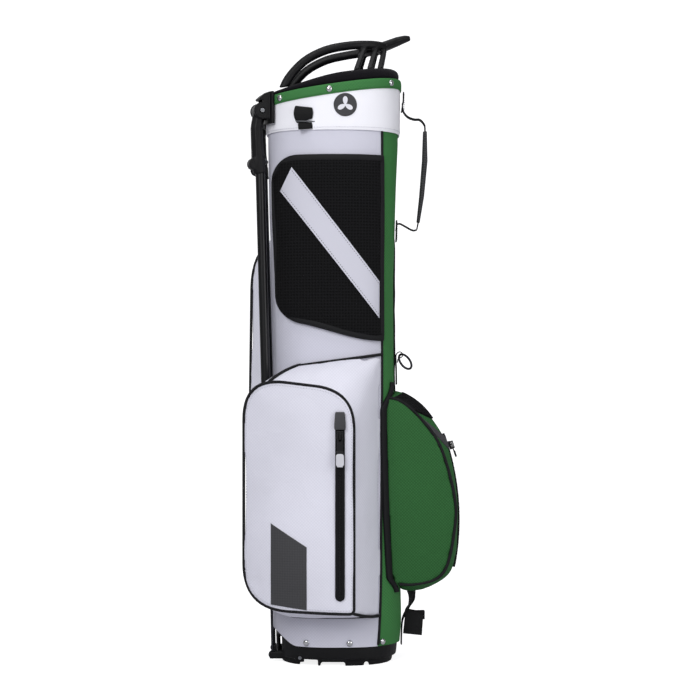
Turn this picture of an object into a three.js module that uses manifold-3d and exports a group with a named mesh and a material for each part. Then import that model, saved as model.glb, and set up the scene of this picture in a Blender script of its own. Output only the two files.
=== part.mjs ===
// A golf stand bag. Millimetres, +Z up, standing upright with its base on the floor at Z = 0.
// The two stand legs are on the -X side, the spine with the ball pocket and the straps is on the +X side,
// the hip pad and the short apparel pocket face -Y, and the long garment pocket faces +Y.
import * as THREE from "three";
import { mergeVertices } from "three/addons/utils/BufferGeometryUtils.js";
import Module from "manifold-3d";

const wasm = await Module();
wasm.setup();

const V = (x, y, z) => new THREE.Vector3(x, y, z);
const GAP = 0.4; // air kept between pieces that touch

// ---------------------------------------------------------------- driving dimensions
const SQUARENESS = 2.4; // exponent of the body's superellipse outline
// The body's outline at each height: distance from the axis to the leg side and to the spine side, half depth,
// and the outline angle in degrees of the seam between the white shell and the green spine panel.
const STATIONS = [
  { z: 0, leg: 88, spine: 87, depth: 78, seam: 54 },
  { z: 20, leg: 90, spine: 89, depth: 79, seam: 54 },
  { z: 60, leg: 92, spine: 91, depth: 80, seam: 53 },
  { z: 110, leg: 86, spine: 90, depth: 79, seam: 51 },
  { z: 190, leg: 84, spine: 86, depth: 77, seam: 48 },
  { z: 300, leg: 86, spine: 82, depth: 76, seam: 44 },
  { z: 434, leg: 89, spine: 80, depth: 76, seam: 41.5 },
  { z: 540, leg: 92, spine: 80, depth: 77, seam: 42 },
  { z: 620, leg: 96, spine: 82, depth: 78, seam: 43 },
  { z: 680, leg: 97, spine: 84, depth: 80, seam: 45 },
  { z: 740, leg: 98, spine: 87, depth: 83, seam: 47.5 },
  { z: 850, leg: 98, spine: 87, depth: 84, seam: 47.5 },
];
const SHELL_WALL = 3; // padded nylon
const SHELL_TOP = 750;
const HEM_Z = 27; // bottom edge of the fabric, which sweeps up over the stand mechanism on the leg side
const HEM_RISE = 21;
const HEM_SWEEP = { start: 55, end: 95 }; // distances towards the leg side between which the hem rises
const RIM_Z = 804; // top of the green collar band on the axis
const RIM_SLOPE = 0.14; // the rim rises towards the spine
const WRAP_Z = 740; // lower hem of the white cuff wrap
const BAND_HEIGHT = 14;

const LEG_SPLAY = THREE.MathUtils.degToRad(18); // turn of each leg's hinge axis about Z
const LEG_HINGE = { x: -107, y: 46, z: 770 };
const LEG_LOW = { x: -91, z: 96 }; // bottom end of the leg tube's centre line
const LEG_HIGH = { x: -107.5, z: 706 }; // top end, inside the arm
const LEG_TUBE_R = 6.5;
const ROD_PIN_DROP = 62; // from the leg hinge down to the push rod's pin
const ROD_PIN_IN = 6; // and from the hinge towards the body
const ROD_OFFSET = 14; // from the leg's plane to the push rod's plane
const ROD_R = 2;
const FOOT_PIVOT = { x: -51, z: 10 };
const FORK_PIN = { x: -90, z: 10 }; // where the push rods meet the tilting foot

// ---------------------------------------------------------------- general shapes

function station(z) {
  const last = STATIONS.length - 1;
  const i = Math.min(last - 1, Math.max(0, STATIONS.findIndex((s) => s.z > z) - 1));
  const [a, b] = [STATIONS[i], STATIONS[z >= STATIONS[last].z ? last : i + 1]];
  const t = b === a ? 0 : (z - a.z) / (b.z - a.z);
  const mix = (key) => a[key] + (b[key] - a[key]) * t;
  return { leg: mix("leg"), spine: mix("spine"), depth: mix("depth"), seam: mix("seam") };
}

// A point of the body's outline at a height, `grow` millimetres outside it. The angle is 0 at the spine, and 90 at +Y.
function outline(z, degrees, grow = 0) {
  const s = station(z);
  const angle = THREE.MathUtils.degToRad(degrees);
  const [c, n] = [Math.cos(angle), Math.sin(angle)];
  const power = (v) => Math.sign(v) * Math.abs(v) ** (2 / SQUARENESS);
  return new THREE.Vector2(power(c) * ((c < 0 ? s.leg : s.spine) + grow), power(n) * (s.depth + grow));
}

// The half depth of the body where X is given.
function depthAt(z, x, grow = 0) {
  const s = station(z);
  const reach = (x < 0 ? s.leg : s.spine) + grow;
  const share = Math.min(1, Math.abs(x) / reach);
  return (s.depth + grow) * (1 - share ** SQUARENESS) ** (1 / SQUARENESS);
}

const rimZ = (x) => RIM_Z + RIM_SLOPE * x;
const hemZ = (x) => HEM_Z + HEM_RISE * THREE.MathUtils.smoothstep(-x, HEM_SWEEP.start, HEM_SWEEP.end);

function geometryOf(points, faces) {
  const g = new THREE.BufferGeometry();
  g.setAttribute("position", new THREE.Float32BufferAttribute(points.flatMap((p) => [p.x, p.y, p.z]), 3));
  g.setIndex(faces.flat());
  return g;
}

// A closed solid between two skins: at(u, v, w) gives a point, with w 0 on the inner skin and 1 on the outer one.
// The normal of the outer skin is du x dv. A closed slab goes all the way round in u.
function slab(nu, nv, at, closed = false) {
  const points = [];
  const columns = closed ? nu : nu + 1;
  for (const w of [0, 1]) {
    for (let i = 0; i < columns; i++) {
      for (let j = 0; j <= nv; j++) points.push(at(i / nu, j / nv, w));
    }
  }
  const id = (i, j, w) => w * columns * (nv + 1) + (i % columns) * (nv + 1) + j;
  const faces = [];
  const quad = (a, b, c, d) => faces.push([a, b, c], [a, c, d]);
  for (let i = 0; i < nu; i++) {
    for (let j = 0; j < nv; j++) {
      quad(id(i, j, 1), id(i + 1, j, 1), id(i + 1, j + 1, 1), id(i, j + 1, 1));
      quad(id(i, j, 0), id(i, j + 1, 0), id(i + 1, j + 1, 0), id(i + 1, j, 0));
    }
    quad(id(i, 0, 0), id(i + 1, 0, 0), id(i + 1, 0, 1), id(i, 0, 1));
    quad(id(i, nv, 1), id(i + 1, nv, 1), id(i + 1, nv, 0), id(i, nv, 0));
  }
  for (let j = 0; j < nv && !closed; j++) {
    quad(id(0, j, 0), id(0, j, 1), id(0, j + 1, 1), id(0, j + 1, 0));
    quad(id(nu, j, 1), id(nu, j, 0), id(nu, j + 1, 0), id(nu, j + 1, 1));
  }
  return geometryOf(points, faces);
}

// A closed solid through a stack of rings with the same number of points. Seen against the stacking direction
// the rings run anticlockwise. Both ends are closed by a fan.
function loft(rings) {
  const n = rings[0].length;
  const points = rings.flat();
  const faces = [];
  for (let k = 0; k + 1 < rings.length; k++) {
    for (let i = 0; i < n; i++) {
      const [a, b] = [k * n + i, k * n + ((i + 1) % n)];
      faces.push([a, b, b + n], [a, b + n, a + n]);
    }
  }
  for (const [k, turn] of [[0, true], [rings.length - 1, false]]) {
    const centre = points.length;
    const ring = rings[k];
    points.push(ring.reduce((sum, p) => sum.add(p), V(0, 0, 0)).divideScalar(n));
    for (let i = 0; i < n; i++) {
      const [a, b] = [k * n + i, k * n + ((i + 1) % n)];
      faces.push(turn ? [centre, b, a] : [centre, a, b]);
    }
  }
  return geometryOf(points, faces);
}

function solidOf(geometry) {
  let g = geometry.clone();
  g.deleteAttribute("normal");
  g.deleteAttribute("uv");
  g = mergeVertices(g, 1e-4);
  const triVerts = g.index.array;
  return new wasm.Manifold(new wasm.Mesh({
    numProp: 3, vertProperties: g.attributes.position.array, triVerts: new Uint32Array(triVerts),
  }));
}

function geometryFrom(solid) {
  const m = solid.getMesh();
  const g = new THREE.BufferGeometry();
  const position = new Float32Array(m.numVert * 3);
  for (let i = 0; i < m.numVert; i++) {
    position.set(m.vertProperties.subarray(i * m.numProp, i * m.numProp + 3), i * 3);
  }
  g.setAttribute("position", new THREE.BufferAttribute(position, 3));
  g.setIndex(new THREE.BufferAttribute(m.triVerts, 1));
  return g;
}

const join = (...parts) => geometryFrom(parts.map(solidOf).reduce((a, b) => a.add(b)));
const cut = (body, ...tools) => geometryFrom(tools.map(solidOf).reduce((a, b) => a.subtract(b), solidOf(body)));
const common = (a, b) => geometryFrom(solidOf(a).intersect(solidOf(b)));
const mirrorY = (p) => V(p.x, -p.y, p.z);

function box(low, high) {
  const size = V(...high).sub(V(...low));
  return new THREE.BoxGeometry(size.x, size.y, size.z)
    .translate(low[0] + size.x / 2, low[1] + size.y / 2, low[2] + size.z / 2);
}

// A cylinder from one point to another.
function rod(from, to, radius, sides = 12, endRadius = radius) {
  const along = to.clone().sub(from);
  const turn = new THREE.Quaternion().setFromUnitVectors(V(0, 1, 0), along.clone().normalize());
  return new THREE.CylinderGeometry(endRadius, radius, along.length(), sides)
    .applyQuaternion(turn)
    .translate(...from.clone().add(to).divideScalar(2).toArray());
}

// A bar swept through stations { p, side, width, thick }: side is its width direction, and it is a rounded strip.
function strip(stations, corners = 4) {
  const centres = stations.map((s) => s.p);
  const rings = stations.map((s, i) => {
    const before = centres[Math.max(0, i - 1)];
    const after = centres[Math.min(centres.length - 1, i + 1)];
    const along = after.clone().sub(before).normalize();
    const side = s.side.clone().sub(along.clone().multiplyScalar(s.side.dot(along))).normalize();
    const up = along.clone().cross(side);
    return Array.from({ length: corners }, (_, k) => {
      const a = ((k + 0.5) / corners) * 2 * Math.PI;
      const flat = corners === 4 ? Math.SQRT2 : 1;
      return s.p.clone()
        .addScaledVector(side, (Math.cos(a) * flat * s.width) / 2)
        .addScaledVector(up, (Math.sin(a) * flat * s.thick) / 2);
    });
  });
  return loft(rings);
}

// The body's outline as a solid, grown or shrunk, between two heights that may depend on X.
function bodyBlock(grow, low, high, sides = 48, heights = STATIONS.map((s) => s.z)) {
  const [bottom, top] = [low, high].map((f) => (typeof f === "function" ? f : () => f));
  const mids = heights.filter((z) => z > bottom(-90) + 1 && z > bottom(90) + 1 && z < top(-90) - 1 && z < top(90) - 1);
  const ring = (zOf, shapeZ) => Array.from({ length: sides }, (_, i) => {
    const q = outline(shapeZ, (i / sides) * 360, grow);
    return V(q.x, q.y, zOf(q.x));
  });
  return loft([ring(bottom, bottom(0)), ...mids.map((z) => ring(() => z, z)), ring(top, top(0))]);
}

// ---------------------------------------------------------------- materials
const material = (color, roughness, metalness = 0) => new THREE.MeshStandardMaterial({ color, roughness, metalness });
const white = material(0xdcdce8, 0.8);
const green = material(0x2f5c31, 0.8);
const blackPlastic = material(0x1b1c1e, 0.5);
const spacerMesh = material(0x0e0e10, 0.95);
const webbing = material(0x121214, 0.9);
const steel = material(0x8c8e92, 0.3, 1);
const chrome = material(0xd0d2d6, 0.15, 1);
const legPaint = material(0x111113, 0.4, 0.6);
const rubber = material(0x17181a, 0.9);
const greyPlastic = material(0x4a4a4e, 0.6);

const bag = new THREE.Group();

function add(name, geometry, look) {
  geometry.computeVertexNormals();
  const piece = new THREE.Mesh(geometry, look);
  piece.name = name;
  bag.add(piece);
}

// ---------------------------------------------------------------- body: shell, spine panel and stays
const SHELL_HEIGHTS = [60, 110, 190, 300, 434, 540, 620, 680, SHELL_TOP];
function shellPanel(from, to, columns) {
  const levels = [null, ...SHELL_HEIGHTS];
  return slab(columns, levels.length - 1, (u, v, w) => {
    const level = levels[Math.round(v * (levels.length - 1))];
    const turn = (z) => from(z) + (to(z) - from(z)) * u;
    const z = level ?? hemZ(outline(HEM_Z, turn(HEM_Z)).x);
    const q = outline(z, turn(z), w ? 0 : -SHELL_WALL);
    return V(q.x, q.y, z);
  });
}
const SEAM_GAP = 0.35; // degrees between the shell and the spine panel
add("body_shell", shellPanel((z) => station(z).seam + SEAM_GAP, (z) => 360 - station(z).seam - SEAM_GAP, 30), white);
add("spine_panel", shellPanel((z) => -station(z).seam, (z) => station(z).seam, 10), green);

// Two aluminium stays hold the base and the cuff apart, inside the shell.
const STAY_R = 4;
for (const [name, side] of [["stay_near", -1], ["stay_far", 1]]) {
  add(name, rod(V(38, side * 62, 16), V(38, side * 62, 744), STAY_R, 10), legPaint);
}

// ---------------------------------------------------------------- base: cup, tilting foot and its hinge pin
const CUP_WALL = 3.5;
const CUP_INSET = SHELL_WALL + 1; // the cup stands inside the fabric
const CUP_FLOOR = 9;
const RECESS_TOP = 34; // the foot tilts up into the cup on the leg side
const RECESS_X = -31;
const ROD_Y = LEG_HINGE.y - ROD_OFFSET * Math.cos(LEG_SPLAY) - ROD_PIN_IN * Math.sin(LEG_SPLAY);
const cupTop = (x) => hemZ(x) + 14;
const ROOM = 100; // reach of the cutting blocks, past the outline
const cupSolid = bodyBlock(-CUP_INSET, (x) => CUP_FLOOR, cupTop);
const cupWell = bodyBlock(-CUP_INSET - CUP_WALL, CUP_FLOOR + 4, 100);
const wellRight = common(cupWell, box([RECESS_X + 4, -ROOM, 0], [ROOM, ROOM, 120]));
const wellLeft = common(cupWell, box([-ROOM, -ROOM, RECESS_TOP + 4], [RECESS_X + 5, ROOM, 120]));
const recess = common(
  bodyBlock(-CUP_INSET - CUP_WALL, -5, RECESS_TOP),
  box([-ROOM, -ROOM, -5], [RECESS_X, ROOM, RECESS_TOP]),
);
const SLOT_HALF = 9.5;
const slots = [-1, 1].map((side) => box(
  [-ROOM, side * ROD_Y - SLOT_HALF, -5], [-60, side * ROD_Y + SLOT_HALF, RECESS_TOP + 4],
));
const HEEL_EDGE = 34; // the flat sole is notched between its feet, from this far out on each side
const heel = cut(
  common(bodyBlock(-CUP_INSET - 5, 0, CUP_FLOOR + 1), box([-26, -ROOM, 0], [ROOM, ROOM, 12])),
  ...[-1, 1].flatMap((side) => [[-22, 12], [38, 44]].map(([x0, x1]) => box(
    [x0, Math.min(side * HEEL_EDGE, side * ROOM), -1], [x1, Math.max(side * HEEL_EDGE, side * ROOM), 5],
  ))),
);
const EAR_Y = 61; // outer faces of the bearing ears for the foot's hinge pin
const PIN_R = 2.5;
const pinBore = rod(V(FOOT_PIVOT.x, -90, FOOT_PIVOT.z), V(FOOT_PIVOT.x, 90, FOOT_PIVOT.z), PIN_R + 0.4, 12);
const ears = [-1, 1].map((side) => box(
  [FOOT_PIVOT.x - 6, Math.min(side * (EAR_Y - 5), side * EAR_Y), FOOT_PIVOT.z - 6],
  [FOOT_PIVOT.x + 6, Math.max(side * (EAR_Y - 5), side * EAR_Y), RECESS_TOP + 2],
));
add("base_cup", cut(join(cut(cupSolid, wellRight, wellLeft, recess, ...slots), heel, ...ears), pinBore), blackPlastic);
add("foot_hinge_pin", rod(V(FOOT_PIVOT.x, -EAR_Y - 1, FOOT_PIVOT.z), V(FOOT_PIVOT.x, EAR_Y + 1, FOOT_PIVOT.z), PIN_R, 10), steel);

const FOOT_INSET = CUP_INSET + CUP_WALL + 2.5;
const footPlate = common(
  bodyBlock(-FOOT_INSET, 0, 12),
  box([-ROOM, -EAR_Y + 7, 0], [FOOT_PIVOT.x, EAR_Y - 7, 12]),
);
const footBarrel = rod(V(FOOT_PIVOT.x, -EAR_Y + 7, FOOT_PIVOT.z), V(FOOT_PIVOT.x, EAR_Y - 7, FOOT_PIVOT.z), 7, 14);
const FORK_GAP = 3.6;
const FORK_CHEEK = 3;
const forks = [-1, 1].flatMap((side) => [-1, 1].map((cheek) => {
  const inner = side * ROD_Y + cheek * FORK_GAP;
  const outer = side * ROD_Y + cheek * (FORK_GAP + FORK_CHEEK);
  return box([FORK_PIN.x - 4, Math.min(inner, outer), 5], [-70, Math.max(inner, outer), 14.5]);
}));
const forkPins = [-1, 1].map((side) => rod(
  V(FORK_PIN.x, side * ROD_Y - FORK_GAP - 2, FORK_PIN.z), V(FORK_PIN.x, side * ROD_Y + FORK_GAP + 2, FORK_PIN.z), 1.8, 10,
));
add("base_foot", cut(join(footPlate, footBarrel, ...forks, ...forkPins), pinBore), blackPlastic);

// ---------------------------------------------------------------- cuff: moulded ring, divider, collar band, wrap
const liningRise = (x) => 7 + 9 * THREE.MathUtils.smoothstep(x, -85, 10); // padded roll above the collar band
const cuffLevels = [
  { z: () => 738, out: -SHELL_WALL - 1.5, in: -9 },
  { z: () => SHELL_TOP + 1, out: -SHELL_WALL - 1.5, in: -9 },
  { z: () => SHELL_TOP + 2, out: -GAP, in: -10 },
  { z: (x) => rimZ(x) + 1, out: -GAP, in: -13 },
  { z: (x) => rimZ(x) + liningRise(x) * 0.5, out: 0.4, in: -14 },
  { z: (x) => rimZ(x) + liningRise(x) * 0.85, out: -2.5, in: -12 },
  { z: (x) => rimZ(x) + liningRise(x), out: -6, in: -9 },
];
add("top_cuff", slab(40, cuffLevels.length - 1, (u, v, w) => {
  const level = cuffLevels[Math.round(v * (cuffLevels.length - 1))];
  const q = outline(790, u * 360, w ? level.out : level.in);
  return V(q.x, q.y, level.z(q.x));
}, true), blackPlastic);

const DIVIDER_HALF = 3.5;
const dividerRoom = bodyBlock(-14 - GAP - 0.6, 756, (x) => rimZ(x) + 5, 40, []);
add("cuff_divider", common(
  dividerRoom,
  join(
    box([-ROOM, -DIVIDER_HALF, 700], [ROOM, DIVIDER_HALF, 900]),
    box([-DIVIDER_HALF - 6, -ROOM, 700], [DIVIDER_HALF - 6, ROOM, 900]),
  ),
), spacerMesh);

add("cuff_wrap", slab(40, 2, (u, v, w) => {
  const q = outline(790, u * 360, w ? 2.4 : GAP);
  const low = outline(WRAP_Z, u * 360, w ? 2.4 : GAP);
  const p = v ? q : low;
  return V(p.x, p.y, v === 0 ? WRAP_Z : rimZ(p.x) - (v === 1 ? 4 : 30));
}, true), white);
add("collar_band", slab(40, 1, (u, v, w) => {
  const q = outline(790, u * 360, w ? 4.2 : 2.4 + GAP);
  return V(q.x, q.y, rimZ(q.x) - BAND_HEIGHT * (1 - v));
}, true), green);

// ---------------------------------------------------------------- top handle: two rails, ribs and a beak over the spine
const RAIL = 13;
const railHalf = [
  V(-75, -57, 798), V(-69, -52, 812), V(-59, -49, 826), V(-42, -46, 842), V(-15, -44, 855.5),
  V(12, -42, 861.5), V(38, -35, 864.5), V(58, -22, 865.5), V(67, 0, 866),
];
const railPath = new THREE.CatmullRomCurve3([...railHalf, ...railHalf.slice(0, -1).reverse().map(mirrorY)]);
const railStations = railPath.getSpacedPoints(44).map((p, i) => {
  const along = railPath.getTangentAt(i / 44);
  const flat = V(-along.y, along.x, 0);
  return { p, side: flat.lengthSq() > 0.05 ? flat : V(0, 1, 0), width: RAIL, thick: RAIL };
});
// Six slanted ribs, three on each side, tie the rails' hub to the cuff.
const ribs = [[24, 39, 34], [43, 55, 24], [58, 67, 11]].flatMap(([x, topX, topY]) => [-1, 1].map((side) => {
  const y = depthAt(790, x, -6.5);
  return strip([
    { p: V(x, side * y, rimZ(x) + 6), side: V(1, 0, 0), width: 7, thick: 8 },
    { p: V(topX, side * topY, 861), side: V(1, 0, 0), width: 7, thick: 8 },
  ]);
}));
const beak = strip([
  { p: V(56, 0, 865), side: V(0, 1, 0), width: 34, thick: 12 },
  { p: V(72, 0, 869.5), side: V(0, 1, 0), width: 32, thick: 14 },
  { p: V(86, 0, 875), side: V(0, 1, 0), width: 28, thick: 13 },
  { p: V(97, 0, 878.5), side: V(0, 1, 0), width: 21, thick: 10.5 },
  { p: V(104, 0, 879.5), side: V(0, 1, 0), width: 11, thick: 7 },
], 8);
const hub = strip([
  { p: V(30, 0, 858.5), side: V(0, 1, 0), width: 76, thick: 7 },
  { p: V(40, 0, 861), side: V(0, 1, 0), width: 68, thick: 10 },
  { p: V(52, 0, 863.5), side: V(0, 1, 0), width: 54, thick: 12 },
  { p: V(62, 0, 866), side: V(0, 1, 0), width: 40, thick: 13 },
], 8);
const cuffRoom = bodyBlock(2, 740, (x) => rimZ(x) + liningRise(x) + 3 * GAP, 40, []);
add("top_handle", cut(join(strip(railStations, 8), ...ribs, hub, beak), cuffRoom), blackPlastic);

// ---------------------------------------------------------------- hip pad
const PAD = { top: 705, right: 451, left: 478, corner: 34, thick: 6 };
add("hip_pad", slab(16, 6, (u, v, w) => {
  const middle = 580;
  const seam = -station(middle).seam - 0.6;
  const start = -151;
  const x0 = outline(middle, start).x;
  const xAt = (t) => outline(middle, start + (seam - start) * t).x;
  const d = Math.min(PAD.corner, xAt(u) - x0);
  const round = PAD.corner - Math.sqrt(PAD.corner ** 2 - (PAD.corner - d) ** 2);
  const low = PAD.left + (PAD.right - PAD.left) * THREE.MathUtils.smoothstep(xAt(u), -80, 60) + round;
  const z = low + (PAD.top - round - low) * v;
  const edge = -station(z).seam - 0.6;
  const q = outline(z, start + (edge - start) * u, w ? PAD.thick : GAP);
  return V(q.x, q.y, z);
}), spacerMesh);

// ---------------------------------------------------------------- pockets
const bodyEnvelope = bodyBlock(GAP, -10, 900, 64);

// A box pocket: ring 0 lies inside the body and is cut away, ring 1 is the front panel's edge, and the last ring
// is the crowned middle of the front panel. corners: [x, z, radius] anticlockwise from the lower left, seen from -Y.
function roundedLoop(corners, steps = 5) {
  const loop = [];
  corners.forEach(([x, z, r], i) => {
    const before = corners[(i + corners.length - 1) % corners.length];
    const after = corners[(i + 1) % corners.length];
    const toBefore = new THREE.Vector2(before[0] - x, before[1] - z).normalize();
    const toAfter = new THREE.Vector2(after[0] - x, after[1] - z).normalize();
    const start = new THREE.Vector2(x, z).addScaledVector(toBefore, r);
    const end = new THREE.Vector2(x, z).addScaledVector(toAfter, r);
    const bend = new THREE.QuadraticBezierCurve(start, new THREE.Vector2(x, z), end);
    loop.push(...bend.getPoints(steps - 1));
  });
  return loop;
}

// depth of a side pocket's front panel, which follows the body's roundness
const panelDepth = (x) => 131 - 41 * THREE.MathUtils.clamp((5 - x) / 136, 0, 1) ** 2.1 - 3 * Math.max(0, (x - 5) / 19);

function sidePocket(front, back, side) {
  const outer = roundedLoop(front);
  const inner = roundedLoop(back);
  const centre = new THREE.Vector2(-50, (front[0][1] + front[2][1]) / 2);
  const frontAt = (share, crown) => outer.map((q) => {
    const x = centre.x + (q.x - centre.x) * share;
    return V(x, side * (panelDepth(x) + crown), centre.y + (q.y - centre.y) * share);
  });
  const rings = [inner.map((q) => V(q.x, side * 36, q.y)), frontAt(1, -4), frontAt(0.975, 0), frontAt(0.55, 1)];
  return cut(loft(side < 0 ? rings : rings.map((r) => [...r].reverse())), bodyEnvelope);
}

const apparelFront = [[-127, 85, 60], [24, 80, 7], [24, 382, 52], [-127, 400, 58]];
const apparelBack = [[-45, 68, 8], [70, 68, 6], [70, 464, 6], [-45, 428, 30]];
add("apparel_pocket", sidePocket(apparelFront, apparelBack, -1), white);

const garmentFront = [[-132, 78, 60], [24, 72, 7], [24, 600, 60], [-125, 622, 95]];
const garmentBack = [[-45, 68, 8], [63, 68, 6], [63, 640, 8], [-45, 640, 40]];
add("garment_pocket", sidePocket(garmentFront, garmentBack, 1), white);

// The ball pocket on the spine: its side profile at the piped edge and at the crowned middle, as [x, z].
const ballEdge = [[60, 112], [112, 111], [149, 128], [164, 190], [163, 236], [144, 302], [117, 341], [88, 366], [60, 372]];
const BALL_ARC = { x: -185, z: 197, r: 356 }; // the outer face's curve, which the zip follows
const arcX = (z) => BALL_ARC.x + Math.sqrt(BALL_ARC.r ** 2 - (z - BALL_ARC.z) ** 2);
const ballMiddle = [
  [60, 97], [117, 99], [156, 118], ...[148, 175, 205, 235, 265, 290, 312].map((z) => [arcX(z), z]),
  [124, 354], [92, 376], [60, 380],
];
const profile = (points, y) => new THREE.SplineCurve(points.map(([x, z]) => new THREE.Vector2(x, z)))
  .getPoints(26).map((q) => V(q.x, y, q.y));
const BALL_HALF = 52;
const ballRings = [
  profile(ballEdge.map(([x, z]) => [60 + (x - 60) * 0.97, 238 + (z - 238) * 0.97]), -BALL_HALF),
  profile(ballEdge, -BALL_HALF + 5),
  profile(ballMiddle, -18),
  profile(ballMiddle, 18),
  profile(ballEdge, BALL_HALF - 5),
  profile(ballEdge.map(([x, z]) => [60 + (x - 60) * 0.97, 238 + (z - 238) * 0.97]), BALL_HALF),
];
add("ball_pocket", cut(loft(ballRings.map((r) => [...r].reverse())), bodyEnvelope), green);

// ---------------------------------------------------------------- zips: tape, slider and pull on each pocket
const TAPE = { half: 6.5, thick: 1.2 };
const SLIDER = { half: 4.5, height: 12, body: 3.2, bridge: 7.2 };
const PULL = { half: 4, thick: 1.6, window: 1.9, length: 30, tag: 48, tagHalf: 5 };
const SHORT_PULL = { ...PULL, length: 17, tag: 24, tagHalf: 4 };

// The slider and its pull, built with the zip running down from z = 0 and the tape's face at y = 0, towards +Y.
// The pull's top bar lies under the slider's bridge, and the bridge's lower post stands in the pull's window.
function sliderPieces(pullSize = PULL) {
  const block = (half, y0, y1, z0, z1) => box([-half, y0, z0], [half, y1, z1]);
  const near = GAP + SLIDER.body;
  const far = GAP + SLIDER.bridge;
  const slider = join(
    block(SLIDER.half, GAP, near, -SLIDER.height, 0),
    block(1.2, near - 0.2, far, -2.2, -0.4),
    block(1.2, near - 0.2, far, -11.6, -9.6),
    block(1.2, far - 1.6, far, -11.6, -0.4),
  );
  const face = near + GAP;
  const plate = cut(
    block(pullSize.half, face, face + pullSize.thick, -pullSize.length, -2.6),
    block(pullSize.window, face - 1, face + pullSize.thick + 1, -14.5, -4.2),
  );
  const pull = join(plate, block(pullSize.tagHalf, face, face + 2.6, -pullSize.tag, 2 - pullSize.length));
  return [slider, pull];
}

function straightZip(label, zip, side) {
  const face = panelDepth(zip.x) + 1.8;
  const turned = (g) => (side < 0 ? g.rotateZ(Math.PI) : g);
  const tape = box([-TAPE.half, -TAPE.thick, zip.low], [TAPE.half, 0, zip.high]);
  const place = (g) => turned(g).translate(zip.x, side * (face + TAPE.thick), 0);
  add(`${label}_zip_tape`, place(tape), webbing);
  const [slider, pull] = sliderPieces();
  add(`${label}_zip_slider`, place(slider.translate(0, 0, zip.slider)), blackPlastic);
  add(`${label}_zip_pull`, place(pull.translate(0, 0, zip.slider)), greyPlastic);
  return { face: face + TAPE.thick, place };
}
const apparelZip = straightZip("apparel", { x: 5, low: 98, high: 351, slider: 328 }, -1);
straightZip("garment", { x: -30, low: 130, high: 560, slider: 556 }, 1);
add("apparel_zip_garage", apparelZip.place(box([-7.5, GAP, 330], [7.5, 3, 353])), greyPlastic);

// The ball pocket's zip bends round the outer face. Its slider turns about the arc's centre.
const BALL_ZIP = { low: 130, high: 318, slider: 306, y: 0 };
const arcPoint = (z, grow) => {
  const a = Math.asin((z - BALL_ARC.z) / BALL_ARC.r);
  return V(BALL_ARC.x + (BALL_ARC.r + grow) * Math.cos(a), 0, BALL_ARC.z + (BALL_ARC.r + grow) * Math.sin(a));
};
const BALL_LIFT = 1.6;
add("ball_zip_tape", slab(1, 14, (u, v, w) => {
  const p = arcPoint(BALL_ZIP.low + (BALL_ZIP.high - BALL_ZIP.low) * v, BALL_LIFT + (w ? TAPE.thick : 0));
  return V(p.x, BALL_ZIP.y - TAPE.half + 2 * TAPE.half * u, p.z);
}), webbing);
const ballTurn = Math.asin((BALL_ZIP.slider - BALL_ARC.z) / BALL_ARC.r);
const ballAt = arcPoint(BALL_ZIP.slider, BALL_LIFT + TAPE.thick + 0.2);
const onBall = (g) => g.rotateZ(-Math.PI / 2).rotateY(-ballTurn).translate(ballAt.x, BALL_ZIP.y, ballAt.z);
const [ballSlider, ballPull] = sliderPieces(SHORT_PULL);
add("ball_zip_slider", onBall(ballSlider), blackPlastic);
add("ball_zip_pull", onBall(ballPull), greyPlastic);

// ---------------------------------------------------------------- stand: bracket, legs, push rods
const BRACKET = { angle: 36, inner: 4.2 + GAP, outer: 9, low: 752, high: 797 };
const EAR = { r: 11.5, thick: 3.6 };
const ARM_HALF = 8;
const bracketPlate = slab(10, 1, (u, v, w) => {
  const q = outline(790, 180 - BRACKET.angle + 2 * BRACKET.angle * u, w ? BRACKET.outer : BRACKET.inner);
  return V(q.x, q.y, v ? BRACKET.high : BRACKET.low);
});

// A leg's own frame: `inward` runs along its hinge axis towards the bag's middle, and `out` in its swing direction.
function legFrame(side) {
  const inward = V(-Math.sin(LEG_SPLAY), -side * Math.cos(LEG_SPLAY), 0);
  const out = V(-Math.cos(LEG_SPLAY), side * Math.sin(LEG_SPLAY), 0);
  const hinge = V(LEG_HINGE.x, side * LEG_HINGE.y, LEG_HINGE.z);
  const at = (inwards, outwards, z) => hinge.clone()
    .addScaledVector(inward, inwards)
    .addScaledVector(out, outwards)
    .setZ(z);
  return { inward, out, at };
}

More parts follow.
